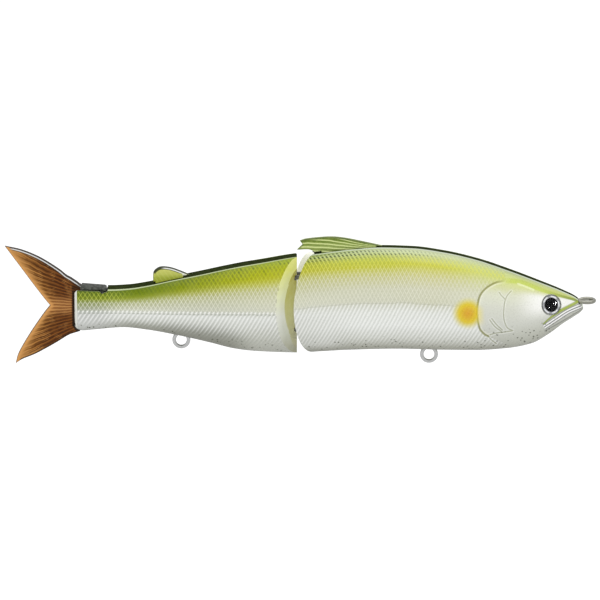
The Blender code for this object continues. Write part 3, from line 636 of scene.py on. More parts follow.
class Nodes:
    """Small helper that writes a material's nodes."""

    def __init__(self, name):
        self.mat = bpy.data.materials.new(name)
        self.mat.use_nodes = True
        self.t = self.mat.node_tree
        self.bsdf = self.t.nodes["Principled BSDF"]

    def new(self, kind, **values):
        n = self.t.nodes.new(kind)
        for k, v in values.items():
            setattr(n, k, v)
        return n

    def put(self, socket, value):
        if isinstance(value, bpy.types.NodeSocket):
            self.t.links.new(value, socket)
        elif isinstance(value, (tuple, list)):
            socket.default_value = (*value, 1.0) if len(value) == 3 and len(socket.default_value) == 4 else value
        else:
            socket.default_value = value

    def attr(self, name):
        return self.new("ShaderNodeAttribute", attribute_name=name).outputs["Fac"]

    def math(self, op, a, b=None, c=None, clamp=False):
        n = self.new("ShaderNodeMath", operation=op, use_clamp=clamp)
        for i, v in enumerate((a, b, c)):
            if v is not None:
                self.put(n.inputs[i], v)
        return n.outputs[0]

    def step(self, x, lo, hi, a=0.0, b=1.0):
        n = self.new("ShaderNodeMapRange", interpolation_type="SMOOTHSTEP")
        for i, v in enumerate((x, lo, hi, a, b)):
            self.put(n.inputs[i], v)
        return n.outputs[0]

    def mix(self, fac, a, b, mode="MIX"):
        n = self.new("ShaderNodeMix", data_type="RGBA", blend_type=mode)
        self.put(n.inputs[0], fac)
        self.put(n.inputs[6], a)
        self.put(n.inputs[7], b)
        return n.outputs[2]

    def ramp(self, fac, stops, mode="LINEAR"):
        n = self.new("ShaderNodeValToRGB")
        r = n.color_ramp
        r.interpolation = mode
        while len(r.elements) < len(stops):
            r.elements.new(0.5)
        for e, (p, c) in zip(r.elements, stops):
            e.position = p
            e.color = (*srgb(*c), 1)
        self.put(n.inputs[0], fac)
        return n.outputs[0]

    def place(self):
        return self.new("ShaderNodeTexCoord").outputs["Object"]

    def noise(self, scale, detail=3.0, rough=0.55, vector=None):
        n = self.new("ShaderNodeTexNoise")
        self.put(n.inputs["Vector"], vector if vector is not None else self.place())
        n.inputs["Scale"].default_value = scale
        n.inputs["Detail"].default_value = detail
        n.inputs["Roughness"].default_value = rough
        return n.outputs["Fac"]

    def near(self, x, half, soft):
        """1 where |x| is under half, fading over soft."""
        return self.step(self.math("ABSOLUTE", x), half, half + soft, 1.0, 0.0)

    def both(self, *f):
        out = f[0]
        for g in f[1:]:
            out = self.math("MULTIPLY", out, g)
        return out

    def finish(self, colour=None, rough=0.3, metal=0.0, coat=0.0, coat_rough=0.05, spec=0.5, **more):
        b = self.bsdf
        if colour is not None:
            self.put(b.inputs["Base Color"], colour)
        self.put(b.inputs["Roughness"], rough)
        b.inputs["Metallic"].default_value = metal
        b.inputs["Coat Weight"].default_value = coat
        b.inputs["Coat Roughness"].default_value = coat_rough
        b.inputs["Specular IOR Level"].default_value = spec
        for k, v in more.items():
            b.inputs[k.replace("_", " ")].default_value = v
        return self.mat


# paint down the side, from the belly seam (0) through the lateral line (0.5) to the back's edge (1)
# the belly ramps darken towards the seam: painted shade over the pearl paint
BELLY = [(0.0, (156, 157, 143)), (0.12, (176, 177, 164)), (0.24, (220, 222, 214)), (0.34, (238, 240, 235)), (0.44, (232, 234, 227))]
BELLY_REAR = [(0.0, (146, 147, 136)), (0.12, (160, 161, 150)), (0.25, (172, 174, 164)), (0.36, (214, 216, 209)), (0.45, (226, 228, 222))]
BELLY_WAIST = [(0.0, (176, 177, 172)), (0.14, (206, 208, 203)), (0.30, (222, 224, 220)), (0.44, (222, 224, 219))]
# on the front stations the pale green just under the back's edge is partly paint and partly a painted highlight on the
# rounded shoulder
PAINT = [
    (-164.0, [(0.5, (201, 205, 196)), (0.54, (190, 195, 176)), (0.63, (165, 173, 130)), (0.75, (140, 150, 85)),
              (0.88, (112, 124, 48)), (0.97, (68, 82, 18))]),
    (-146.0, [(0.5, (214, 216, 206)), (0.60, (196, 198, 172)), (0.70, (178, 183, 131)), (0.79, (158, 166, 84)),
              (0.86, (132, 146, 44)), (0.97, (108, 122, 42))]),
    (-126.0, [(0.5, (208, 210, 200)), (0.62, (193, 195, 170)), (0.73, (181, 183, 122)), (0.82, (162, 167, 66)),
              (0.91, (146, 154, 40)), (0.98, (134, 146, 74))]),
    (-98.0, [(0.5, (216, 218, 206)), (0.62, (206, 207, 182)), (0.73, (197, 198, 142)), (0.81, (185, 184, 74)),
             (0.89, (168, 173, 52)), (0.96, (160, 176, 96))]),
    (-72.0, [(0.5, (212, 213, 198)), (0.62, (210, 211, 189)), (0.72, (205, 204, 146)), (0.80, (198, 199, 76)),
             (0.87, (186, 196, 92)), (0.95, (186, 199, 148))]),
    (-50.0, [(0.5, (212, 213, 193)), (0.62, (214, 214, 192)), (0.73, (213, 211, 152)), (0.825, (206, 206, 88)),
             (0.87, (208, 214, 132)), (0.95, (200, 210, 168))]),
    (-30.0, [(0.5, (226, 227, 218)), (0.63, (222, 224, 200)), (0.72, (216, 220, 168)), (0.82, (210, 218, 132)),
             (0.90, (212, 222, 150)), (0.97, (196, 206, 160))]),
]


def skin_material(front):
    k = Nodes("front_paint" if front else "rear_paint")
    ux, s, hn, edge = (k.attr(n) for n in ("ux", "s", "hn", "edge"))
    la, lb = k.attr("la"), k.attr("lb")
    t = k.math("MULTIPLY_ADD", hn, 0.5, 0.5)
    stations = [p for p in PAINT if (p[0] > -100 if front else p[0] < -95)]

    def belly(x):
        return BELLY if x > -97 else BELLY_WAIST if x < -150 else BELLY_REAR

    col = k.ramp(t, belly(stations[0][0]) + stations[0][1])
    for (xa, _), (xb, stops) in zip(stations, stations[1:]):
        col = k.mix(k.step(ux, xa, xb), col, k.ramp(t, belly(xb) + stops))

    def wave(phase):                      # distance to the nearest whole phase
        return k.math("PINGPONG", phase, 0.5)

    da, db = wave(la), wave(lb)
    up = k.step(s, -0.7, 0.9)
    down = k.math("SUBTRACT", 1.0, up)
    line_a = k.step(da, 0.03, 0.12, 1.0, 0.0)
    line_b = k.step(db, 0.03, 0.12, 1.0, 0.0)
    net = k.math("MAXIMUM", line_a, line_b)
    body = k.step(k.attr("gill"), -0.45, -0.15, 1.0, 0.0) if front else k.step(ux, TAIL_END_X + 0.9, TAIL_END_X + 1.6)
    off_edge = k.step(edge, 0.7, 1.5)
    # scales above the lateral line: darker middles, pale outlines
    scaled = k.both(up, body, off_edge)
    col = k.mix(k.both(scaled, k.math("SUBTRACT", 1.0, net), 0.45), col,
                k.mix(1.0, col, (0.80, 0.81, 0.72), "MULTIPLY"))
    fade_top = k.step(hn, 0.62, 0.95, 1.0, 0.25 if front else 0.7)
    pale = k.mix(k.step(hn, 0.40, 0.70), srgb(226, 226, 206), srgb(222, 222, 90) if front else srgb(190, 200, 56))
    if not front:
        pale = k.mix(k.step(ux, -150.0, -120.0), k.mix(k.step(hn, 0.30, 0.60), srgb(236, 238, 220),
                       k.mix(k.step(ux, -146.0, -156.0), srgb(140, 156, 52), srgb(204, 214, 128))), pale)
    col = k.mix(k.both(scaled, net, fade_top, 0.72), col, pale)
    # short dark strokes in rows under the back
    rows = k.math("PINGPONG", k.math("SUBTRACT", la, lb), 0.5)
    stroke = k.step(k.math("PINGPONG", k.math("ADD", la, 0.5), 0.5), 0.10, 0.24, 1.0, 0.0)
    if front:
        high = k.both(k.step(hn, 0.70, 0.84), k.step(edge, 1.0, 1.6), k.step(ux, -42.0, -60.0))
        glint = k.both(line_a, body, k.step(hn, 0.62, 0.75), k.step(edge, 1.0, 1.8), k.step(rows, 0.05, 0.2), 0.7)
        col = k.mix(glint, col, k.mix(k.step(hn, 0.7, 0.9), srgb(228, 226, 96), srgb(216, 232, 182)))
        col = k.mix(k.both(stroke, body, high, k.step(rows, 0.12, 0.28), k.step(hn, 0.72, 0.86, 0.55, 1.0), 0.95), col, srgb(46, 72, 12))
    else:
        high = k.both(k.step(hn, 0.55, 0.85), k.step(edge, 0.8, 1.4))
        patch = k.step(k.noise(520.0, 2.0), 0.44, 0.62)
        col = k.mix(k.both(stroke, body, high, patch, 0.55), col, srgb(70, 92, 8))
        olive = k.both(k.step(ux, -110.0, -140.0), k.step(hn, 0.34, 0.70), k.step(edge, 0.4, 0.9), 0.46,
                       k.math("MULTIPLY_ADD", k.both(net, k.step(ux, -146.0, -156.0)), -0.7, 1.0))
        col = k.mix(olive, col, srgb(104, 124, 24))
        col = k.mix(k.both(k.step(hn, 0.36, 0.62), 0.9), col, k.mix(1.0, col, (0.99, 1.0, 0.35), "MULTIPLY"))
    if front:
        # pale band just under the back's edge: painted highlight on the rounded shoulder
        shoulder_highlight = k.both(k.step(hn, 0.78, 0.92), k.step(ux, -80.0, -58.0), body, off_edge, 0.5)
        col = k.mix(shoulder_highlight, col, srgb(226, 236, 192))
        chin = k.both(k.step(ux, -28.0, -18.0), k.step(hn, -0.2, -0.5), 0.6)
        col = k.mix(chin, col, srgb(222, 224, 212))
        flat = k.both(k.step(ux, -76.0, -86.0), k.step(hn, -0.15, -0.4), k.step(hn, -0.85, -0.6), 0.5)
        col = k.mix(flat, col, srgb(236, 238, 232))
    else:
        grey = k.both(k.near(k.math("ADD", ux, 127.0), 7.0, 9.0), k.step(hn, -0.1, -0.45), 0.9)
        col = k.mix(grey, col, k.mix(1.0, col, (0.80, 0.80, 0.79), "MULTIPLY"))
        near_joint = k.both(k.step(ux, -116.0, -106.0), k.step(hn, -0.15, -0.45), 0.55)
        col = k.mix(near_joint, col, srgb(212, 214, 204))
        stem = k.both(k.step(ux, -152.0, -160.0), k.step(hn, 0.5, 0.1), 0.9)
        col = k.mix(stem, col, k.mix(1.0, col, (0.82, 0.82, 0.82), "MULTIPLY"))
    # slanting ribs below the lateral line: troughs painted darker as painted shade, crests painted white as painted
    # highlight
    rib_shade_highlight = k.both(down, body, k.step(hn, -0.82, -0.42) if front else k.step(hn, -0.66, -0.25))
    col = k.mix(k.both(rib_shade_highlight, k.step(db, 0.18, 0.42), 0.6), col, k.mix(1.0, col, (0.76, 0.77, 0.77), "MULTIPLY"))
    col = k.mix(k.both(rib_shade_highlight, k.step(db, 0.26, 0.02), 0.55), col, srgb(250, 251, 249))
    # lateral line
    if front:
        ll = k.both(k.near(s, 0.06, 0.2), body, 0.3)
        col = k.mix(ll, col, srgb(176, 178, 160))
    else:
        dots = k.both(k.near(s, 0.14, 0.22), k.step(k.math("PINGPONG", lb, 0.5), 0.10, 0.30, 1.0, 0.0), body)
        col = k.mix(k.both(dots, 0.8), col, srgb(246, 247, 242))
        dash = k.both(k.near(k.math("ADD", s, 0.62), 0.16, 0.2), k.step(k.math("PINGPONG", k.math("ADD", lb, 0.25), 0.5), 0.2, 0.34, 1.0, 0.0), body)
        col = k.mix(k.both(dash, 0.55), col, srgb(150, 154, 142))

    if front:
        gill, at = k.attr("gill"), k.attr("gill_at")
        head = k.step(gill, -0.25, 0.15)
        # the cheek's tones darken towards the bottom: painted shade
        cheek = k.both(head, k.step(hn, 0.40, 0.12))
        col = k.mix(k.both(cheek, 0.85), col, k.ramp(t, [(0.0, (172, 173, 162)), (0.14, (190, 192, 180)), (0.36, (208, 210, 200)),
                                                       (0.5, (217, 219, 205)), (0.62, (222, 225, 204))]))
        lit = k.both(head, k.step(ux, -25.0, -15.0), k.step(hn, -0.32, 0.0), k.step(hn, 0.5, 0.25))
        col = k.mix(k.both(lit, 0.9), col, srgb(253, 253, 249))
        crown = k.attr("crown")
        # green crown streak and the pale field above it
        wide = k.step(ux, -24.0, -5.0, 0.95, 0.5)
        green = k.both(k.step(k.math("DIVIDE", k.math("ABSOLUTE", crown), wide), 0.55, 1.1, 1.0, 0.0), k.step(k.attr("crown_at"), 0.02, 0.22))
        col = k.mix(k.both(green, 0.85), col, k.mix(k.step(ux, -16.0, -5.0), srgb(198, 212, 104), srgb(140, 158, 56)))
        # pale streak along the crown: painted highlight
        col = k.mix(k.both(k.near(k.attr("streak"), 0.16, 0.32), 0.8), col, srgb(236, 242, 190))
        # green keel of the upper jaw
        thick = k.step(k.attr("ridge_at"), 0.35, 1.0, 0.50, 0.20)
        rid = k.step(k.math("DIVIDE", k.attr("ridge"), thick), 0.55, 1.15, 1.0, 0.0)
        col = k.mix(k.both(rid, 0.9), col, srgb(164, 182, 66))
        rid_dark = k.both(k.near(k.math("SUBTRACT", k.attr("ridge"), thick), 0.05, 0.16), 0.45)
        col = k.mix(rid_dark, col, srgb(120, 130, 84))
        # lips: white bar with a grey groove, grey outlines
        lip, jaw = k.attr("lip"), k.attr("jaw")
        reach = k.step(k.attr("lip_at"), 0.0, 0.03)
        bar = k.both(k.near(lip, 0.55, 0.14), reach)
        col = k.mix(k.both(bar, 0.95), col, srgb(253, 253, 251))
        col = k.mix(k.both(k.near(lip, 0.08, 0.16), reach, 0.9), col, srgb(122, 124, 124))
        col = k.mix(k.both(k.near(k.math("SUBTRACT", k.math("ABSOLUTE", lip), 0.74), 0.06, 0.14), reach, 0.85), col, srgb(138, 140, 138))
        col = k.mix(k.both(k.near(jaw, 0.08, 0.2), k.step(k.attr("jaw_at"), 0.0, 0.05), 0.7), col, srgb(136, 138, 134))
        # moulded lines of the gill plate: a grey-green line in each groove, partly paint and partly painted shade, with
        # a pale painted highlight beside it on the raised side
        col = k.mix(k.both(k.near(k.attr("thin"), 0.06, 0.22), 0.55), col, srgb(150, 154, 118))
        col = k.mix(k.both(k.near(k.math("SUBTRACT", k.attr("thin"), 0.38), 0.05, 0.16), 0.35), col, srgb(250, 251, 246))
        on = k.step(at, 0.22, 0.38)
        col = k.mix(k.both(k.near(k.math("ADD", gill, 0.16), 0.14, 0.36), on, 0.8), col, srgb(144, 144, 84))
        # pale line along the plate's raised rim: painted highlight
        col = k.mix(k.both(k.near(k.math("SUBTRACT", gill, 0.42), 0.08, 0.25), on, 0.45), col, srgb(247, 246, 226))
        # yellow mark behind the gill plate, a little of it over the plate's edge
        spot = k.attr("spot")
        tone = k.ramp(k.math("DIVIDE", spot, 5.6), [(0.0, (222, 166, 0)), (0.24, (222, 178, 6)), (0.5, (226, 200, 44)),
                                                    (0.78, (220, 208, 86)), (1.0, (214, 210, 116))])
        glow = k.both(k.step(spot, 2.8, 5.8, 1.0, 0.0), k.mix(head, (1, 1, 1), (0.5, 0.5, 0.5)))
        col = k.mix(k.both(glow, 0.96), col, tone)
        plate = k.both(head, k.step(k.math("ABSOLUTE", k.math("ADD", k.attr("uw"), 5.0)), 1.0, 4.0, 1.0, 0.0), k.step(gill, 2.6, 0.2))
        col = k.mix(k.both(plate, 0.55), col, srgb(238, 226, 150))
    # fine dark specks low on the side and under the head
    vor = k.new("ShaderNodeTexVoronoi", feature="F1")
    k.put(vor.inputs["Vector"], k.place())
    vor.inputs["Scale"].default_value = 800.0
    split = k.new("ShaderNodeSeparateColor")
    k.put(split.inputs[0], vor.outputs["Color"])
    some = k.step(split.outputs[0], 0.38, 0.42) if front else k.step(split.outputs[0], 0.34, 0.38)
    low = k.step(hn, -0.46, -0.66)
    if front:
        low = k.math("MAXIMUM", low, k.both(k.step(k.attr("gill"), 0.0, 1.5), k.step(hn, -0.25, -0.5), 0.9))
    specks = k.both(k.step(vor.outputs["Distance"], 0.16, 0.30, 1.0, 0.0), some, low, 0.9)
    col = k.mix(specks, col, srgb(86, 88, 74))
    # back: dark strip, and under it a pale line along the bead, a painted highlight
    strip = k.step(edge, 0.16, -0.02)
    bead_highlight = k.both(k.near(k.math("SUBTRACT", edge, 0.50), 0.26 if front else 0.14, 0.22 if front else 0.18), 0.88 if front else 0.85)
    col = k.mix(bead_highlight, col, srgb(222, 232, 210) if front else srgb(206, 218, 178))
    grain = k.noise(900.0, 2.0)
    dark = k.mix(k.step(grain, 0.35, 0.75), srgb(10, 16, 5), srgb(34, 42, 22))
    col = k.mix(strip, col, dark)
    haze = k.noise(220.0, 4.0)
    col = k.mix(k.both(k.step(haze, 0.35, 0.7), 0.015), col, srgb(250, 250, 246))
    rough = k.step(k.noise(1500.0, 2.0), 0.2, 0.8, 0.24, 0.34)
    return k.finish(col, rough, metal=0.08, spec=0.28 if front else 0.20, coat=0.18 if front else 0.09, coat_rough=0.10)


def plain_paint(name, stops, rough=0.32, glow=0.0):
    """Sprayed inside faces: tones by height (drawing units, then the colour), with a fine mottle."""
    k = Nodes(name)
    sep = k.new("ShaderNodeSeparateXYZ")
    k.put(sep.inputs[0], k.place())
    col = k.ramp(k.math("MULTIPLY_ADD", k.math("DIVIDE", sep.outputs[2], UNIT), 1 / 36.0, 0.5),
                 [((z + 18.0) / 36.0, c) for z, c in stops])
    col = k.mix(k.both(k.step(k.noise(700.0, 4.0), 0.3, 0.75), 0.10), col, srgb(250, 250, 236))
    r = k.step(k.noise(1200.0, 2.0), 0.2, 0.8, rough - 0.05, rough + 0.06)
    mat = k.finish(col, r, spec=0.3, coat=0.15, coat_rough=0.12)
    # glow is painted light: an emission that lifts a face out of its shade
    if glow:
        k.bsdf.inputs["Emission Color"].default_value = (1, 1, 0.97, 1)
        k.bsdf.inputs["Emission Strength"].default_value = glow
    return mat


GLOSS = 0.034
m_front, m_rear = skin_material(True), skin_material(False)
GLOSS = 0.0


def strip_material():
    k = Nodes("back_strip")
    y = k.new("ShaderNodeSeparateXYZ")
    k.put(y.inputs[0], k.place())
    across = k.math("ABSOLUTE", k.math("DIVIDE", y.outputs[1], UNIT))
    grain = k.noise(700.0, 3.0)
    col = k.mix(k.step(grain, 0.3, 0.75), srgb(44, 53, 26), srgb(64, 73, 43))
    col = k.mix(k.both(k.step(across, 0.9, 1.5), 0.5), col, srgb(36, 46, 16))
    return k.finish(col, k.step(grain, 0.2, 0.8, 0.6, 0.72), spec=0.0)


m_strip = strip_material()
m_band = plain_paint("wedge_shoulder", [(-17, (150, 150, 122)), (-13, (178, 179, 160)), (-9, (206, 209, 196)), (-3, (226, 228, 218)),
                                        (4, (224, 228, 184)), (12, (216, 218, 116))])
m_facet = plain_paint("wedge_face", [(-17, (150, 148, 126)), (-8, (196, 194, 148)), (1, (192, 190, 118)),
                                     (10, (176, 170, 52))])
# the notch face glows a little: painted light that keeps it pale in its shade
m_notch = plain_paint("notch_face", [(-15, (236, 238, 232)), (14, (252, 253, 250))], rough=0.6, glow=0.22)
m_inside = plain_paint("bare_plastic_inside", [(-15, (218, 220, 212)), (14, (222, 224, 216))], rough=0.5)


def metal_material(name, tint, rough, scratch):
    k = Nodes(name)
    streak = k.noise(2600.0, 3.0)
    col = k.mix(k.step(streak, 0.3, 0.8), srgb(*tint), srgb(*(min(255, int(c * 1.1)) for c in tint)))
    r = k.step(k.noise(scratch, 3.0), 0.25, 0.75, rough - 0.05, rough + 0.08)
    return k.finish(col, r, metal=1.0)


m_wire = metal_material("polished_stainless", (228, 229, 228), 0.16, 3200.0)
# the line tie is the hangers' stainless tinted darker: a painted darker reflection
m_tie_wire_shaded = metal_material("dark_stainless", (178, 178, 166), 0.14, 3200.0)
# the hinge eyes are the same stainless tinted much darker: painted shade of the gap they sit in
m_hinge_wire_shaded = metal_material("hinge_stainless", (104, 104, 98), 0.24, 3200.0)
m_pin = metal_material("pin_stainless", (172, 172, 170), 0.26, 1800.0)


def ballast_material():
    k = Nodes("cast_ballast")
    n = k.noise(900.0, 5.0, 0.65)
    col = k.mix(k.step(n, 0.3, 0.7), srgb(92, 94, 98), srgb(136, 138, 142))
    bump = k.new("ShaderNodeBump")
    bump.inputs["Strength"].default_value = 0.25
    bump.inputs["Distance"].default_value = 0.0001
    k.put(bump.inputs["Height"], n)
    k.t.links.new(bump.outputs[0], k.bsdf.inputs["Normal"])
    return k.finish(col, k.step(n, 0.2, 0.8, 0.42, 0.58), metal=0.9)


m_ballast = ballast_material()


def pupil_material():
    k = Nodes("eye_pupil")
    col = k.mix(k.step(k.noise(900.0, 2.0), 0.3, 0.7), srgb(4, 4, 5), srgb(9, 9, 11))
    return k.finish(col, 0.85, spec=0.0)


m_pupil = pupil_material()


def iris_material():
    k = Nodes("eye_foil")
    r, a = k.attr("er"), k.attr("ea")
    flake = k.noise(2400.0, 3.0)
    rays = k.math("PINGPONG", k.math("MULTIPLY", a, 22.0), 0.5)
    silver = k.mix(k.step(flake, 0.3, 0.7), srgb(222, 224, 227), srgb(254, 254, 254))
    silver = k.mix(k.both(k.step(rays, 0.1, 0.4), 0.35), silver, srgb(150, 152, 156))
    dull = k.both(k.near(k.math("SUBTRACT", k.math("FRACT", k.math("MULTIPLY", a, 2.6)), 0.45), 0.10, 0.16), k.step(r, 2.3, 2.5), 0.7)
    silver = k.mix(dull, silver, srgb(112, 114, 118))
    silver = k.mix(k.both(k.step(r, 2.52, 2.36), 0.8), silver, srgb(70, 72, 76))
    col = k.mix(k.step(r, 2.86, 2.98), silver, srgb(104, 106, 104))
    mat = k.finish(col, 0.3, metal=0.1, spec=0.4)
    # painted light: the foil glows, though it is no lamp
    k.put(k.bsdf.inputs["Emission Color"], col)      # foil stays bright under the dome
    k.bsdf.inputs["Emission Strength"].default_value = 0.30
    return mat


m_iris = iris_material()
k = Nodes("eye_lens")
tone = k.mix(k.step(k.noise(400.0, 1.0), 0.3, 0.7), (0.004, 0.004, 0.005), (0.008, 0.008, 0.009))
m_lens = k.finish(tone, 0.04, spec=0.5, coat=1.0, coat_rough=0.04, Alpha=0.07)


def dorsal_material():
    k = Nodes("dorsal_resin")
    ray, high = k.attr("ray"), k.attr("high")
    rim = k.attr("rim")
    lines = k.math("PINGPONG", ray, 0.5)
    base = k.ramp(high, [(0.0, (92, 108, 40)), (0.12, (124, 142, 66)), (0.35, (150, 166, 92)), (0.75, (112, 134, 44)), (0.92, (92, 112, 30)), (1.0, (84, 104, 28))])
    col = k.mix(k.both(k.step(lines, 0.22, 0.08), k.step(high, 0.98, 0.86), 0.9), base, srgb(214, 224, 156))
    col = k.mix(k.both(k.step(lines, 0.34, 0.48), 0.5), col, srgb(78, 100, 26))
    col = k.mix(k.both(k.step(rim, 0.32, 0.12), 0.75), col, srgb(60, 78, 24))
    col = k.mix(k.both(k.step(k.noise(1100.0, 3.0), 0.35, 0.7), 0.15), col, srgb(200, 210, 120))
    col = k.mix(k.attr("top"), col, srgb(150, 166, 96))
    return k.finish(col, k.step(k.noise(1500.0, 2.0), 0.2, 0.8, 0.28, 0.4), spec=0.3, coat=0.12, coat_rough=0.1)


def adipose_material():
    k = Nodes("adipose_resin")
    high, rim = k.attr("high"), k.attr("rim")
    col = k.ramp(high, [(0.0, (158, 168, 56)), (0.3, (180, 186, 86)), (0.8, (196, 198, 104)), (1.0, (184, 190, 96))])
    lines = k.math("PINGPONG", k.attr("ray"), 0.5)
    col = k.mix(k.both(k.step(lines, 0.25, 0.1), 0.10), col, srgb(226, 228, 150))
    sep = k.new("ShaderNodeSeparateXYZ")
    k.put(sep.inputs[0], k.place())
    fore = k.both(k.step(k.math("DIVIDE", sep.outputs[0], UNIT), -139.0, -137.0), k.step(high, 0.12, 0.30))
    col = k.mix(k.both(k.step(rim, 0.84, 0.64), k.step(high, 0.3, 0.5), 0.95), col, srgb(30, 38, 10))
    # white line inside the front part of the rim: painted highlight
    col = k.mix(k.both(k.near(k.math("SUBTRACT", rim, 0.34), 0.08, 0.18), fore, 0.9), col, srgb(238, 240, 234))
    col = k.mix(k.both(k.step(rim, 0.18, 0.06), 0.85), col, srgb(34, 42, 16))
    col = k.mix(k.both(k.attr("top"), 0.9), col, srgb(40, 48, 20))
    return k.finish(col, k.step(k.noise(1500.0, 2.0), 0.2, 0.8, 0.3, 0.42), spec=0.3, coat=0.12, coat_rough=0.1)


def tail_material():
    k = Nodes("soft_tail")
    ray, rim, back, cap = k.attr("ray"), k.attr("rim"), k.attr("span"), k.attr("cap")
    wob = k.noise(260.0, 3.0)
    phase = k.math("MULTIPLY_ADD", wob, 0.7, ray)
    lines = k.math("PINGPONG", phase, 0.5)
    fine = k.math("PINGPONG", k.math("MULTIPLY", phase, 2.37), 0.5)
    deep = k.ramp(back, [(0.0, (70, 37, 10)), (0.3, (66, 33, 8)), (0.6, (74, 40, 10)), (0.8, (96, 57, 18)), (0.93, (166, 116, 58)), (1.0, (186, 136, 78))])
    light = k.ramp(back, [(0.0, (130, 77, 30)), (0.35, (128, 75, 28)), (0.6, (134, 83, 34)), (0.82, (170, 116, 56)), (1.0, (198, 148, 90))])
    f = k.both(k.step(lines, 0.04, 0.34), k.step(k.noise(420.0, 2.0), 0.2, 0.6, 0.7, 1.0))
    col = k.mix(f, light, deep)
    col = k.mix(k.both(k.step(fine, 0.28, 0.46), k.step(back, 0.97, 0.8), 0.6), col, srgb(58, 28, 6))
    streak = k.both(k.step(fine, 0.18, 0.06), k.step(k.noise(330.0, 2.0), 0.5, 0.65), k.step(back, 0.98, 0.85), 0.6)
    col = k.mix(streak, col, srgb(206, 150, 84))
    middle = k.both(k.near(k.attr("mid"), 0.8, 3.2), k.step(back, 0.0, 0.1), 0.55)
    col = k.mix(middle, col, k.mix(k.step(lines, 0.2, 0.45), srgb(206, 150, 90), srgb(140, 84, 36)))
    edge = k.step(k.attr("trail"), 0.7, 1.5)
    col = k.mix(k.both(k.step(rim, 1.5, 0.4), k.step(back, 0.5, 0.9), 0.7), col, srgb(206, 150, 86))
    upper = k.step(k.attr("mid"), 3.0, 5.5)
    col = k.mix(k.both(k.step(rim, 0.62, 0.34), edge, 0.85), col, srgb(34, 26, 18))
    # along the upper edge a dark, a white and a dark line stand for the edge's thickness seen from above; the white
    # line is a painted highlight
    col = k.mix(k.both(k.step(rim, 1.02, 0.80), edge, upper, 0.8), col, srgb(40, 30, 20))
    col = k.mix(k.both(k.near(k.math("SUBTRACT", rim, 0.44), 0.07, 0.20), edge, upper, 0.85), col, srgb(230, 231, 229))
    col = k.mix(k.both(k.step(rim, 0.20, 0.06), 0.75), col, srgb(78, 70, 64))
    sep = k.new("ShaderNodeSeparateXYZ")
    k.put(sep.inputs[0], k.place())
    px, pz = k.math("DIVIDE", sep.outputs[0], UNIT), k.math("DIVIDE", sep.outputs[2], UNIT)
    # dark line where the tail meets the body and under the cap: painted shade
    line = k.both(k.step(px, -167.95, -167.65), k.step(pz, -9.0, -8.0))
    line = k.math("MAXIMUM", k.both(line, k.step(pz, 4.4, 3.2)), k.both(k.step(pz, 3.4, 4.4), 0.75))
    col = k.mix(k.both(k.attr("root"), line, 0.92), col, srgb(26, 18, 10))
    col = k.mix(k.both(k.near(k.attr("trail"), 0.07, 0.20), k.step(back, 0.5, 0.9), 0.6), col, srgb(112, 92, 72))
    col = k.mix(k.both(k.attr("top"), 0.85), col, srgb(62, 56, 50))
    col = k.mix(cap, col, k.mix(k.step(k.noise(900.0, 3.0), 0.3, 0.7), srgb(44, 47, 42), srgb(98, 101, 95)))
    return k.finish(col, k.step(k.noise(1300.0, 3.0), 0.2, 0.8, 0.36, 0.48), spec=0.12, coat=0.04, coat_rough=0.15)


m_dorsal, m_adipose, m_tail = dorsal_material(), adipose_material(), tail_material()


# ------------------------------------------------------- hard body, left half
def edge_of_wedge(y):
    return RIDGE_X - WEDGE_SLOPE * np.maximum(y - RIDGE_HALF, 0)


def edge_of_notch(y):
    return NOTCH_X - NOTCH_SLOPE * np.maximum(y - NOTCH_HALF, 0)


def displaced(part, X, Y, Z, first, last):
    """Moves grid columns first..last along their normals by the relief, easing out at the seams."""
    n = grid_normals(X[first:last], Y[first:last], Z[first:last])
    x, y, z = X[first:last].ravel(), Y[first:last].ravel(), Z[first:last].ravel()
    m = marks(part, x, y, z)
    h = relief(part, m) * ease(y, SEAM + 0.05, 0.7)
    h = h.reshape(X[first:last].shape)
    keep = np.ones(last - first)
    h *= keep[:, None]
    X[first:last] += n[..., 0] * h
    Y[first:last] = np.maximum(Y[first:last] + n[..., 1] * h, SEAM)
    Z[first:last] += n[..., 2] * h
    return X, Y, Z


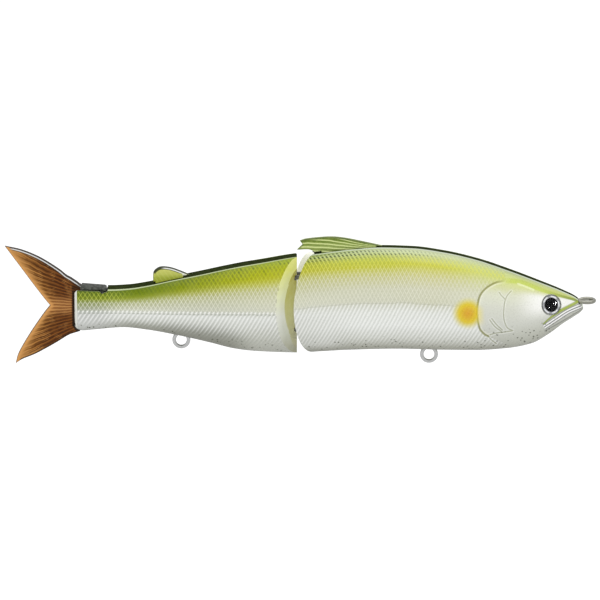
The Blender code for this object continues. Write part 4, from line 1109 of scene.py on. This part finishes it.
def rear_grid():
    cols = []
    first = None
    for d in (0.0, 0.06, 0.16, 0.32, 0.5, 0.72, 0.96, 1.22, 1.5, 1.8, 2.1, 2.4, 2.7, 3.0, 3.4):
        x = TAIL_END_X + d
        ry, rz = 2.3, 3.4
        iy = ry - math.sqrt(max(ry * ry - max(ry - d, 0) ** 2, 0))
        iz = rz - math.sqrt(max(rz * rz - max(rz - d, 0) ** 2, 0))
        y, z = ring(x, iy, z_in=iz * 0.8)
        cols.append((np.full_like(y, x), y, z))
    y, z = cols[0][1:]
    cols.insert(0, (np.full_like(y, TAIL_END_X), np.full_like(y, SEAM), z))
    for x in np.arange(TAIL_END_X + 3.65, -112.0, 0.25):
        y, z = ring(x)
        cols.append((np.full_like(y, x), y, z))
    y_e, z_e = ring(-97.5)
    x_e = edge_of_wedge(y_e)
    n = 62
    for i in range(n + 1):
        f = i / n
        xs = -112.0 + 14.5 * f
        y, z = ring(xs)
        cols.append((-112.0 + (x_e + 112.0) * f, y, z))
    skin_end = len(cols)
    # pale shoulder, stepping in along the section's normal, then the flat wedge face and the blunt ridge
    ty, tz = np.gradient(y_e), np.gradient(z_e)
    ty[:N_BACK], tz[:N_BACK] = 1.0, 0.0
    L = np.maximum(np.hypot(ty, tz), 1e-9)
    ny, nz = -tz / L, ty / L
    sgn = np.where(ny < -1e-6, -1.0, 1.0)
    ny, nz = ny * sgn, nz * sgn
    nz = np.where(np.arange(len(nz)) <= N_BACK, np.abs(nz), nz)
    xc = np.minimum(x_e + BAND_X, RIDGE_X)
    w = (xc - x_e) / BAND_X
    yc = np.maximum(y_e - ny * BAND_IN * w, np.minimum(y_e, RIDGE_HALF))
    zc = z_e - nz * BAND_IN * w
    for i in range(1, 13):
        f = i / 12
        bulge = 0.10 * math.sin(math.pi * f)
        cols.append((x_e + (xc - x_e) * f + bulge * w, y_e + (yc - y_e) * f + bulge * w * ny, z_e + (zc - z_e) * f + bulge * w * nz))
    y_n = np.minimum(yc, RIDGE_HALF)
    for i in range(1, 21):
        f = i / 20
        cols.append((xc + (RIDGE_X - xc) * f, yc + (y_n - yc) * f, zc))
    cols.append((np.full_like(y_n, RIDGE_X), np.full_like(y_n, SEAM), zc))
    X, Y, Z = (np.array([c[i] for c in cols]) for i in range(3))
    return displaced("rear", X, Y, Z, 1, skin_end)


def front_grid():
    y_e, z_e = ring(-91.5)
    x_e = edge_of_notch(y_e)
    y_n = np.minimum(y_e, NOTCH_HALF)
    cols = [(np.full_like(y_n, NOTCH_X), np.full_like(y_n, SEAM), z_e)]
    for i in range(24):
        f = i / 24
        cols.append((NOTCH_X + (x_e - NOTCH_X) * f, y_n + (y_e - y_n) * f, z_e))
    start = len(cols)
    n = 56
    for i in range(n + 1):
        f = i / n
        y, z = ring(-91.5 + 12.5 * f)
        cols.append((x_e + (-79.0 - x_e) * f, y, z))
    xs = list(np.arange(-78.76, -38.0, 0.25)) + list(np.arange(-37.9, -1.9, 0.18)) + [-1.75, -1.6, -1.45, -1.32]
    for x in xs:
        y, z = ring(x)
        cols.append((np.full_like(y, x), y, z))
    y, z = ring(-1.2)
    y = np.maximum(y, SEAM)
    cols.append((np.full_like(y, -1.2), y, z))
    cols.append((np.full_like(y, -1.2), np.full_like(y, SEAM), z))
    X, Y, Z = (np.array([c[i] for c in cols]) for i in range(3))
    return displaced("front", X, Y, Z, start, len(cols) - 2)


def cavity(name, stations):
    cols = []
    for x, floor, roof in stations:
        top = f_top(x) - WALL if roof is None else roof
        bottom = f_bottom(x) + WALL if floor is None else floor
        y, z = ring(x, WALL, n_back=4, n_side=36, top=top, bottom=bottom)
        y = y.copy()
        y[0] = y[-1] = -1.0
        cols.append((np.full_like(y, x), y, z))
    flat = [(c[0], np.full_like(c[1], -1.0), c[2]) for c in (cols[0], cols[-1])]
    cols = [flat[0]] + cols + [flat[1]]
    X, Y, Z = (np.array([c[i] for c in cols]) for i in range(3))
    return half_solid(name, X, Y, Z)


FX, FZ = HANGER["front"]
RX, RZ = HANGER["rear"]
FRONT_CAVITY = [(-80.5, None, 13.2), (-70, None, 14.0), (-66.3, None, 14.3), (-65.7, None, None), (FX - 4.9, None, None),
                (FX - 4.5, -8.2, None), (FX + 4.5, -8.2, None), (FX + 4.9, None, None), (-38, None, None), (-30, None, None),
                (-23.5, None, None), (-17.5, None, None), (-14.2, None, None)]
REAR_CAVITY = [(-155.5, None, 1.0), (-144, None, 1.4), (-143.0, None, 1.6), (RX - 4.9, None, 2.4), (RX - 4.5, -3.4, 2.5),
               (RX + 3.0, -3.4, 3.2), (RX + 4.5, -3.4, None), (RX + 4.9, None, None), (-118, None, None), (-109.5, None, None)]

seat_r = WIRE_R + CLEAR
swing = [(-98.0, -7.4), (PIN_X - 1.0, -3.75)] + arc(PIN_X, 0, 3.6, -90, 90, 20) + [(PIN_X - 1.0, 3.75), (-98.0, 7.4)]


def slot_outline(tang, gap):
    (xa, za), (xb, zb) = sorted(tang)
    return [(xa - gap, za - gap), (xb + gap, zb - gap), (xb + gap, zb + 9), (xa - gap, za + 9)]


def pin_hole():
    r = PIN_R + 0.25
    return lathe("pin_hole", [(0, PIN_Z[0] - 0.3), (r, PIN_Z[0] - 0.3), (r, PIN_Z[1] + 0.3), (0, PIN_Z[1] + 0.3)],
                 Matrix.Translation((PIN_X, 0, 0)), 32)


pt, nrm = surface_frame(EYE_X, EYE_ZC, 1)
eye_floor = pt - nrm * 1.15
socket = lathe("socket", [(0, 0), (EYE_R + CLEAR, 0), (EYE_R + CLEAR, 1.0), (EYE_R + CLEAR + 0.25, 3.5), (0, 3.5)],
               stand(eye_floor, nrm), 64)
front_cutters = [cavity("hollow_front", FRONT_CAVITY),
                 prism("slot_up", swing, EYE_Z[0] - 0.98, EYE_Z[0] + 0.98),
                 prism("slot_low", swing, EYE_Z[1] - 0.98, EYE_Z[1] + 0.98),
                 pin_hole(),
                 tube("seat_front", hanger_points(FX, FZ, 18), seat_r, sides=14),
                 tube("seat_tie", tie_points(1, 18)[8:], seat_r, closed=False, sides=14),
                 prism("slot_dorsal", slot_outline(DORSAL_TANG, CLEAR), -FIN_HALF - CLEAR, FIN_HALF + CLEAR, "y"),
                 socket]
rear_cutters = [cavity("hollow_rear", REAR_CAVITY),
                tube("seat_up", eye_points(EYE_Z[0], 18), seat_r, sides=14),
                tube("seat_low", eye_points(EYE_Z[1], 18), seat_r, sides=14),
                tube("seat_rear", hanger_points(RX, RZ, 18), seat_r, sides=14),
                prism("slot_adipose", slot_outline(ADIPOSE_TANG, CLEAR), -FIN_HALF - CLEAR, FIN_HALF + CLEAR, "y"),
                prism("slot_tail", [(-170, -8.2), (-158.6, -8.2), (-158.6, 9), (-170, 9)], -TAIL_HALF - CLEAR, TAIL_HALF + CLEAR, "y"),
                prism("slot_cap", [(-172, 4.0), (-158.9, 3.85), (-158.0, 2.95), (-156.2, 3.75), (-156.0, 4.6), (-156.0, 9),
                                   (-172, 9)], -4.0, 4.0, "y")]


def finish_shell(ob, part):
    """Skin coordinates as attributes, and a material for each kind of face."""
    me = ob.data
    co = coords(me)
    m = marks(part, co[:, 0], co[:, 1], co[:, 2])
    for name, v in m.items():
        if name not in ("depth", "lip_raw"):
            numbers(me, name, v)
    nf = len(me.polygons)
    centre = np.zeros(nf * 3, np.float32)
    me.polygons.foreach_get("center", centre)
    c = centre.reshape(-1, 3).astype(float) / UNIT
    depth = skins[part].read(c[:, 0], np.abs(c[:, 1]), c[:, 2])[3]
    y = np.abs(c[:, 1])
    index = np.zeros(nf, np.int32)
    if part == "rear":
        ahead = c[:, 0] > edge_of_wedge(y) + 0.04
        wy, wz = ring(-97.5, n_back=6, n_side=180)
        d = np.min(np.hypot(y[:, None] - wy[None], c[:, 2:3] - wz[None]), axis=1) if nf < 1 else None
        index = np.where(depth > 0.5, 3, 0)
        near_face = c[:, 0] > np.minimum(edge_of_wedge(y), RIDGE_X) - 0.5
        shoulder = ahead & (depth < (BAND_IN - 0.12) * (0.42 + 0.58 * ease(c[:, 2], -16.0, -8.5)))
        face = ahead & ~shoulder
        n = np.zeros(nf * 3, np.float32)
        me.polygons.foreach_get("normal", n)
        n = n.reshape(-1, 3)
        index = np.where(shoulder & (n[:, 0] > 0.2), 1, index)
        index = np.where(face & (n[:, 0] > 0.2), 2, index)
        index = np.where((c[:, 0] > RIDGE_X - 0.02) & (n[:, 0] > 0.9), 2, index)
    else:
        index = np.where(depth > 0.5, 3, 0)
        n = np.zeros(nf * 3, np.float32)
        me.polygons.foreach_get("normal", n)
        n = n.reshape(-1, 3)
        on_notch = np.abs(c[:, 0] - edge_of_notch(y)) < 0.03
        index = np.where(on_notch & (n[:, 0] < -0.3), 2, index)
        index = np.where(depth > 0.5, np.where(index == 2, 2, 3), index)
    edge_c = skins[part].read(c[:, 0], y, c[:, 2])[2]
    index = np.where((index == 0) & (edge_c < 0.13) & (n[:, 2] > 0.2), 4, index)
    index = np.where((np.abs(c[:, 1]) < SEAM + 0.03) & (np.abs(n[:, 1]) > 0.7), 4, index)
    me.materials.clear()
    for mat in ((m_rear, m_band, m_facet, m_inside, m_strip) if part == "rear" else
                (m_front, m_band, m_notch, m_inside, m_strip)):
        me.materials.append(mat)
    me.polygons.foreach_set("material_index", index.astype(np.int32))
    shade(ob, 32)
    me.update()


shell = {}
for part, grid, cutters in (("front", front_grid, front_cutters), ("rear", rear_grid, rear_cutters)):
    ob = half_solid(part + "_half_left", *grid())
    cut(ob, cutters)
    for c in cutters:
        bpy.data.objects.remove(c)
    finish_shell(ob, part)
    other = mirrored(ob, part + "_half_right")
    shade(other, 32)
    for piece, tag in ((ob, "left"), (other, "right")):
        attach(piece, part + "_section")
        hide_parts(f"{part}_shell_{tag}")
        shell[part, tag] = piece

# ------------------------------------------------------------------ wire, pin
for name, points, body in (("line_tie_wire", tie_points(-1) + tie_points(1)[-2:0:-1], "front_section"),
                           ("front_hanger_wire", hanger_points(FX, FZ), "front_section"),
                           ("rear_hanger_wire", hanger_points(RX, RZ), "rear_section"),
                           ("upper_eye_wire", eye_points(EYE_Z[0]), "rear_section"),
                           ("lower_eye_wire", eye_points(EYE_Z[1]), "rear_section")):
    ob = tube(name, points, WIRE_R, sides=20)
    ob.data.materials.append(m_wire if "hanger" in name else m_tie_wire_shaded if "tie" in name else m_hinge_wire_shaded)
    ob.data.shade_smooth()
    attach(ob, body)
    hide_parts({"line_tie_wire": "line_tie", "front_hanger_wire": "front_hook_hanger",
                     "rear_hanger_wire": "rear_hook_hanger", "upper_eye_wire": "upper_hinge_eye",
                     "lower_eye_wire": "lower_hinge_eye"}[name])

lo, hi = PIN_Z
pin = lathe("hinge_pin_turned", [(0, lo), (PIN_R - 0.22, lo), (PIN_R, lo + 0.3), (PIN_R, hi - 0.45),
                                 (PIN_R - 0.1, hi - 0.2), (PIN_R - 0.3, hi), (0, hi)],
            Matrix.Translation((PIN_X, 0, 0)), 48)
pin.data.materials.append(m_pin)
shade(pin, 30)
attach(pin, "front_section")
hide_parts("hinge_pin")

# ----------------------------------------------------------------------- eyes
for side, tag in ((-1, "right"), (1, "left")):
    pt, nrm = surface_frame(EYE_X, EYE_ZC, side)
    floor = pt - nrm * 1.15
    world = stand(floor, nrm)
    prof = [(0, 0.30), (EYE_R - 0.08, 0.30), (EYE_R, 0.36), (EYE_R, 0.70), (EYE_R - 0.08, 0.76)]
    prof += [(r, 0.76 - 0.05 * math.sin(math.pi * (r - 2.26) / (EYE_R - 0.1 - 2.26))) for r in np.linspace(EYE_R - 0.12, 2.3, 8)]
    prof += [(2.24, 0.74), (1.4, 0.72), (0.7, 0.71), (0, 0.70)]
    iris = lathe("iris_" + tag, prof, world, 72)
    co = coords(iris.data)
    inv = world.inverted()
    loc = np.array([tuple(inv @ Vector(c)) for c in co])
    numbers(iris.data, "er", np.hypot(loc[:, 0], loc[:, 1]))
    numbers(iris.data, "ea", np.abs(np.arctan2(loc[:, 1], loc[:, 0])) / math.pi)
    iris.data.materials.append(m_iris)
    iris.data.materials.append(m_pupil)
    pole = np.zeros(len(iris.data.polygons) * 3, np.float32)
    iris.data.polygons.foreach_get("center", pole)
    local = np.array([tuple(inv @ (Vector(q) / UNIT)) for q in pole.reshape(-1, 3).tolist()])
    dark = (np.hypot(local[:, 0], local[:, 1]) < 2.27) & (local[:, 2] > 0.5)
    iris.data.polygons.foreach_set("material_index", dark.astype(np.int32))
    shade(iris, 40)
    steps = 16
    prof = [(0, 0.95), (EYE_R - 0.04, 0.95), (EYE_R, 1.0)]
    prof += [(EYE_R * math.cos(math.radians(90 * i / steps)), 1.0 + 1.2 * math.sin(math.radians(90 * i / steps))) for i in range(1, steps)]
    prof += [(0, 2.2)]
    lens = lathe("lens_" + tag, prof, world, 72)
    lens.data.materials.append(m_lens)
    shade(lens, 40)
    for ob, node, slot in ((iris, "eye_iris_" + tag, "eye_foil"), (lens, "eye_lens_" + tag, "eye_lens")):
        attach(ob, "front_section")
        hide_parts(node)


# ----------------------------------------------------------------------- fins
def fin(name, outline, half, spacing, height, edge_share=0.6, rim_width=0.35):
    """Thin moulded fin from a closed outline in the XZ plane: fine triangles on both faces, thinner at the rim,
    with height(x, z, distance to the rim) added to each face."""
    b = np.array(outline, float)
    n = len(b)
    inner = []
    nxt, prv = np.roll(b, -1, 0), np.roll(b, 1, 0)
    area = 0.5 * np.sum(b[:, 0] * nxt[:, 1] - nxt[:, 0] * b[:, 1])
    t = nxt - prv
    t /= np.maximum(np.linalg.norm(t, axis=1, keepdims=True), 1e-9)
    inward = np.stack([-t[:, 1], t[:, 0]], axis=1) * np.sign(area)
    for off in (0.14, 0.34):
        inner.append(b + inward * off)
    gx = np.arange(b[:, 0].min(), b[:, 0].max(), spacing)
    gz = np.arange(b[:, 1].min(), b[:, 1].max(), spacing * 0.87)
    G = np.array([(x + (0.5 * spacing if j % 2 else 0), z) for j, z in enumerate(gz) for x in gx])
    cand = [(inner[0], 0.10), (inner[1], 0.26), (G, 0.34 + 0.45 * spacing)]
    pts = [b]
    for P, least in cand:
        d, _ = far_from(b, P[:, 0], P[:, 1], closed=True)
        pts.append(P[inside(b, P[:, 0], P[:, 1]) & (d > least)])
    V = np.concatenate(pts)
    out = geometry.delaunay_2d_cdt([Vector(p) for p in V], [(i, (i + 1) % n) for i in range(n)], [], 0, 1e-6, False)
    W = np.array([tuple(v) for v in out[0]])
    T = np.array([tuple(f) for f in out[2]])
    mid = W[T].mean(axis=1)
    T = T[inside(b, mid[:, 0], mid[:, 1])]
    tris = [tuple(int(i) for i in f) for f in T]
    d, _ = far_from(b, W[:, 0], W[:, 1], closed=True)
    d = np.where(d < 1e-4, 0.0, d)
    h = half(W[:, 0], W[:, 1]) if callable(half) else np.full(len(W), float(half))
    rise = np.sqrt(1 - (1 - np.clip(d / rim_width, 0, 1)) ** 2)
    h = h * (edge_share + (1 - edge_share) * rise) + height(W[:, 0], W[:, 1], d) * np.clip(d / 0.4, 0, 1)
    m = len(W)
    P = np.concatenate([np.stack([W[:, 0], h, W[:, 1]], 1), np.stack([W[:, 0], -h, W[:, 1]], 1)])
    count = {}
    for f in tris:
        for i in range(3):
            e = (f[i], f[(i + 1) % 3])
            count[e] = count.get(e, 0) + 1
    faces = [tuple(f) for f in tris] + [tuple(m + i for i in reversed(f)) for f in tris]
    for (i, j) in count:
        if (j, i) not in count:
            faces.append((j, i, m + i, m + j))
    return solid(name, P, faces)


def spread(points, step, sharp=()):
    """Outline points spread along smooth runs between the sharp corners (indices)."""
    n = len(points)
    sharp = sorted(sharp)
    out = []
    for a, b in zip(sharp, sharp[1:] + [sharp[0] + n]):
        run = [points[i % n] for i in range(a, b + 1)]
        out += list(curve_through(run, step))[:-1]
    return np.array(out)


def f_of(table):
    xs, ys = zip(*table)
    return lambda x: np.interp(x, xs, ys)


dorsal_top = f_of([(-94.4, 17.9), (-93.5, 20.3), (-91.0, 21.0), (-84.0, 21.6), (-79.0, 21.2), (-73.0, 20.0), (-66.8, 18.6)])
dorsal_base = f_of([(-94.4, 16.0), (-88.7, 16.4), (-86.6, 16.7), (-77.0, 17.6), (-66.8, 18.4)])


def dorsal_ray(x, z):
    n = (z - dorsal_base(x)) / np.maximum(dorsal_top(x) - dorsal_base(x), 0.3)
    u = np.clip((x + 93.5) / 26.7, 0, 1)
    return (np.clip(n, -0.2, 1.2) + 0.85 * u) / 0.27, np.clip(n, 0, 1)


pts = DORSAL + DORSAL_TANG
out = spread(pts, 0.4, sharp=[0, 1, 3, 4, 5, 10, 11, 12, 13])
dorsal = fin("dorsal_fin_rayed", out, 0.80, 0.30,
             lambda x, z, d: 0.10 * np.cos(2 * math.pi * dorsal_ray(x, z)[0]) * ease(z - dorsal_base(x), 0.0, 0.6) + 0.12)
co = coords(dorsal.data)
ray, high = dorsal_ray(co[:, 0], co[:, 2])
d, _ = far_from(out, co[:, 0], co[:, 2], closed=True)
numbers(dorsal.data, "ray", ray)
numbers(dorsal.data, "high", high)
numbers(dorsal.data, "rim", d)


def rim_faces(ob, mat_slots=1):
    """1 on the narrow faces round the rim that look up, as an attribute on faces."""
    me = ob.data
    n = np.zeros(len(me.polygons) * 3, np.float32)
    me.polygons.foreach_get("normal", n)
    n = n.reshape(-1, 3)
    a = me.attributes.new("top", "FLOAT", "FACE")
    a.data.foreach_set("value", ((np.abs(n[:, 1]) < 0.35) & (n[:, 2] > 0.25)).astype(np.float32))


rim_faces(dorsal)
dorsal.data.materials.append(m_dorsal)
shade(dorsal, 50)
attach(dorsal, "front_section")
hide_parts("dorsal_fin")

pts = ADIPOSE + ADIPOSE_TANG + [(-131.4, 8.5)]
out = spread(pts, 0.35, sharp=[0, 7, 8, 9, 10, 11])
adipose = fin("adipose_fin_soft_edge", out, 0.85, 0.32,
              lambda x, z, d: 0.05 * np.cos(2 * math.pi * (x + 0.7 * z) / 1.5) * ease(z, 9.6, 10.4) + 0.06)
co = coords(adipose.data)
d, _ = far_from(out, co[:, 0], co[:, 2], closed=True)
numbers(adipose.data, "ray", (co[:, 0] + 0.7 * co[:, 2]) / 1.5)
numbers(adipose.data, "high", np.clip((co[:, 2] - 8.0) / 3.5, 0, 1))
numbers(adipose.data, "rim", d)
rim_faces(adipose)
adipose.data.materials.append(m_adipose)
shade(adipose, 50)
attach(adipose, "rear_section")
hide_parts("adipose_fin")

# ------------------------------------------------- soft tail, root to tips
TAIL = [(-165.2, -10.12), (-165.75, -9.84), (-166.2, -9.54), (-166.6, -9.14), (-167.18, -7.9), (-158.9, -7.9), (-158.9, 4.6), (-164.0, 5.15), (-166.2, 6.5), (-168.0, 7.75),
        (-169.6, 8.7), (-172.4, 11.0), (-178.2, 14.7), (-184.0, 17.2), (-189.5, 18.5), (-185.0, 12.2), (-180.0, 5.2),
        (-176.6, 0.6), (-174.9, -1.5), (-176.8, -3.9), (-180.0, -8.6), (-183.0, -13.4), (-185.4, -17.9),
        (-186.3, -21.2), (-184.0, -19.7), (-179.6, -17.8), (-173.6, -14.4), (-169.15, -11.55), (-167.3, -10.8)]
out = spread(TAIL, 0.4, sharp=[0, 4, 5, 6, 14, 18, 23])
trailing = curve_through(TAIL[14:19], 0.5), curve_through(TAIL[18:24], 0.5)


def tail_ray(x, z):
    return np.degrees(np.arctan2(z + 1.5, -(x + 152.0))) / 2.9


def tail_span(x, z):
    """0 at the root to 1 at the trailing edge."""
    d = np.minimum(far_from(trailing[0], x, z)[0], far_from(trailing[1], x, z)[0])
    back = np.clip(-(x + 167.5), 0, None)
    return back / np.maximum(back + d, 0.1)


def tail_half(x, z):
    """Half thickness: the root is thickest, and the lobes thin out towards the trailing edge."""
    return np.interp(-x, [158.9, 168.0, 171.0, 189.5], [TAIL_HALF, TAIL_HALF, 0.92, 0.72]) * (1 - 0.35 * tail_span(x, z) ** 2)


def tail_height(x, z, d):
    free = ease(-x, 168.2, 170.5)
    return free * (0.085 * np.cos(2 * math.pi * tail_ray(x, z)) + 0.03 * np.cos(2 * math.pi * 2.37 * tail_ray(x, z))) * \
        (1 - 0.6 * tail_span(x, z))


tail = fin("soft_tail_whole", out, tail_half, 0.30, tail_height, edge_share=0.72, rim_width=0.3)
cap = prism("tail_cap", ROOT_CAP, -2.15, 2.15, "y")
bev = cap.modifiers.new("round", "BEVEL")
bev.width, bev.segments, bev.limit_method = 0.16 * UNIT, 2, "ANGLE"
cut(tail, [cap], op="UNION")
bpy.data.objects.remove(cap)
co = coords(tail.data)
d, _ = far_from(out, co[:, 0], co[:, 2], closed=True)
numbers(tail.data, "ray", tail_ray(co[:, 0], co[:, 2]))
numbers(tail.data, "span", tail_span(co[:, 0], co[:, 2]))
numbers(tail.data, "mid", co[:, 2] + 1.5)
numbers(tail.data, "trail", np.minimum(far_from(trailing[0], co[:, 0], co[:, 2])[0], far_from(trailing[1], co[:, 0], co[:, 2])[0]))
numbers(tail.data, "rim", d)
numbers(tail.data, "cap", ((co[:, 0] > -164.9) & (co[:, 2] > 3.2)).astype(float))
# root: where the tail is painted dark as shade where it meets the body
numbers(tail.data, "root", ease(co[:, 0], -168.0, -167.6) * (1 - ease(co[:, 2], 5.0, 6.2)) * (1 - ((co[:, 0] > -164.9) & (co[:, 2] > 3.2))))
rim_faces(tail)
tail.data.materials.clear()
tail.data.materials.append(m_tail)
tail.data.polygons.foreach_set("material_index", np.zeros(len(tail.data.polygons), np.int32))
shade(tail, 50)
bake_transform(tail)
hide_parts("tail_root", "tail_fin")

# ------------------------------------------------------- carried-over ballast
for name in ("nose_ballast", "belly_ballast", "mid_ballast", "rear_ballast"):
    node = frame["nodes"][name]
    node.data.materials.clear()
    node.data.materials.append(m_ballast)

# ------------------------------------------------------------ floor and light
lo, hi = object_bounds()
FLOOR_Z = lo.z - 0.180
me = bpy.data.meshes.new("floor")
me.from_pydata([(-8, -8, FLOOR_Z), (8, -8, FLOOR_Z), (8, 8, FLOOR_Z), (-8, 8, FLOOR_Z)], [], [(0, 1, 2, 3)])
floor = bpy.data.objects.new("floor", me)
scene.collection.objects.link(floor)
k = Nodes("pale_floor")
me.materials.append(k.finish(k.mix(k.step(k.noise(1.5, 2.0), 0.2, 0.8), (0.93, 0.93, 0.93), (0.95, 0.95, 0.95)), 0.9, spec=0.0))
k.bsdf.inputs["Emission Color"].default_value = (1, 1, 1, 1)
k.bsdf.inputs["Emission Strength"].default_value = 0.42
floor.visible_diffuse = False
floor.visible_glossy = False

world = bpy.data.worlds.new("studio")
scene.world = world
world.use_nodes = True
world.node_tree.nodes["Background"].inputs[0].default_value = (1, 1, 1, 1)
world.node_tree.nodes["Background"].inputs[1].default_value = 0.56


def area_light(name, place, at, size, power, size_y=None):
    L = bpy.data.lights.new(name, "AREA")
    L.energy, L.size = power, size
    if size_y:
        L.shape, L.size_y = "RECTANGLE", size_y
    ob = bpy.data.objects.new(name, L)
    scene.collection.objects.link(ob)
    ob.location = place
    ob.rotation_euler = (Vector(at) - Vector(place)).to_track_quat("-Z", "Y").to_euler()
    return ob


mid = (-0.085, 0.0, 0.0)
area_light("key_overhead", (-0.085, 0.05, 1.15), mid, 2.4, 6.0, 1.3)
for fill in (area_light("fill_left", (-1.15, -1.10, 0.22), mid, 0.9, 7.0, 1.0),
             area_light("fill_front", (-0.25, -1.50, 0.12), mid, 1.3, 7.0, 0.5),
             area_light("fill_right", (1.40, -0.32, 0.25), mid, 0.7, 4.4, 0.9)):
    fill.visible_glossy = False       # keeps the near eye dark
eyes_only = bpy.data.collections.new("eyes_only")
for ob in bpy.data.objects:
    if ob.name.startswith("lens_"):
        eyes_only.objects.link(ob)


def lamp_seen_in_eye(name, across, above, size, power, reach=0.8):
    """Small round lamp placed where the near eye's dome mirrors it to the camera, off the eye's middle."""
    pt, nrm = surface_frame(EYE_X, EYE_ZC, -1)
    world = stand(pt - nrm * 1.15, nrm)
    inv = world.to_3x3().inverted()
    right = Vector((1, 0, 0))
    upv = Vector((0, math.sin(ELEVATION), math.cos(ELEVATION)))
    off = inv @ (right * across + upv * above)
    r = math.hypot(off.x, off.y)
    slope = 1.2 / EYE_R * r / math.sqrt(EYE_R ** 2 - r * r)
    n = Vector((off.x / r * slope, off.y / r * slope, 1.0)).normalized()
    n = (world.to_3x3() @ n).normalized()
    see = Vector((0, math.cos(ELEVATION), -math.sin(ELEVATION)))
    out = see - 2 * see.dot(n) * n
    at = world @ Vector((off.x, off.y, 2.0)) * UNIT
    ob = area_light(name, at + out * reach, at, size, power)
    ob.data.shape = "DISK"
    ob.light_linking.receiver_collection = eyes_only
    return ob


lamp_seen_in_eye("lamp_high", 0.98, 0.49, 0.24, 30.0)
lamp_seen_in_eye("lamp_low", -1.30, -0.80, 0.18, 14.0)

# --------------------------------------------------------------------- camera
cam = bpy.data.cameras.new("camera")
camera = bpy.data.objects.new("camera", cam)
scene.collection.objects.link(camera)
cam.sensor_width = 36.0
DIST = 2.6
FIELD = 600 * 0.3258 * UNIT
cam.lens = 36.0 * DIST / FIELD
cam.clip_end = 30.0
up = Vector((0, math.sin(ELEVATION), math.cos(ELEVATION)))
look = Vector((0, math.cos(ELEVATION), -math.sin(ELEVATION)))
target = Vector((-287 * 0.3258 * UNIT, 0, 0)) + up * (0.5 * 0.3258 * UNIT)
camera.location = target - look * DIST
camera.rotation_euler = (math.pi / 2 - ELEVATION, 0, 0)
scene.camera = camera
scene.view_settings.view_transform = "Standard"
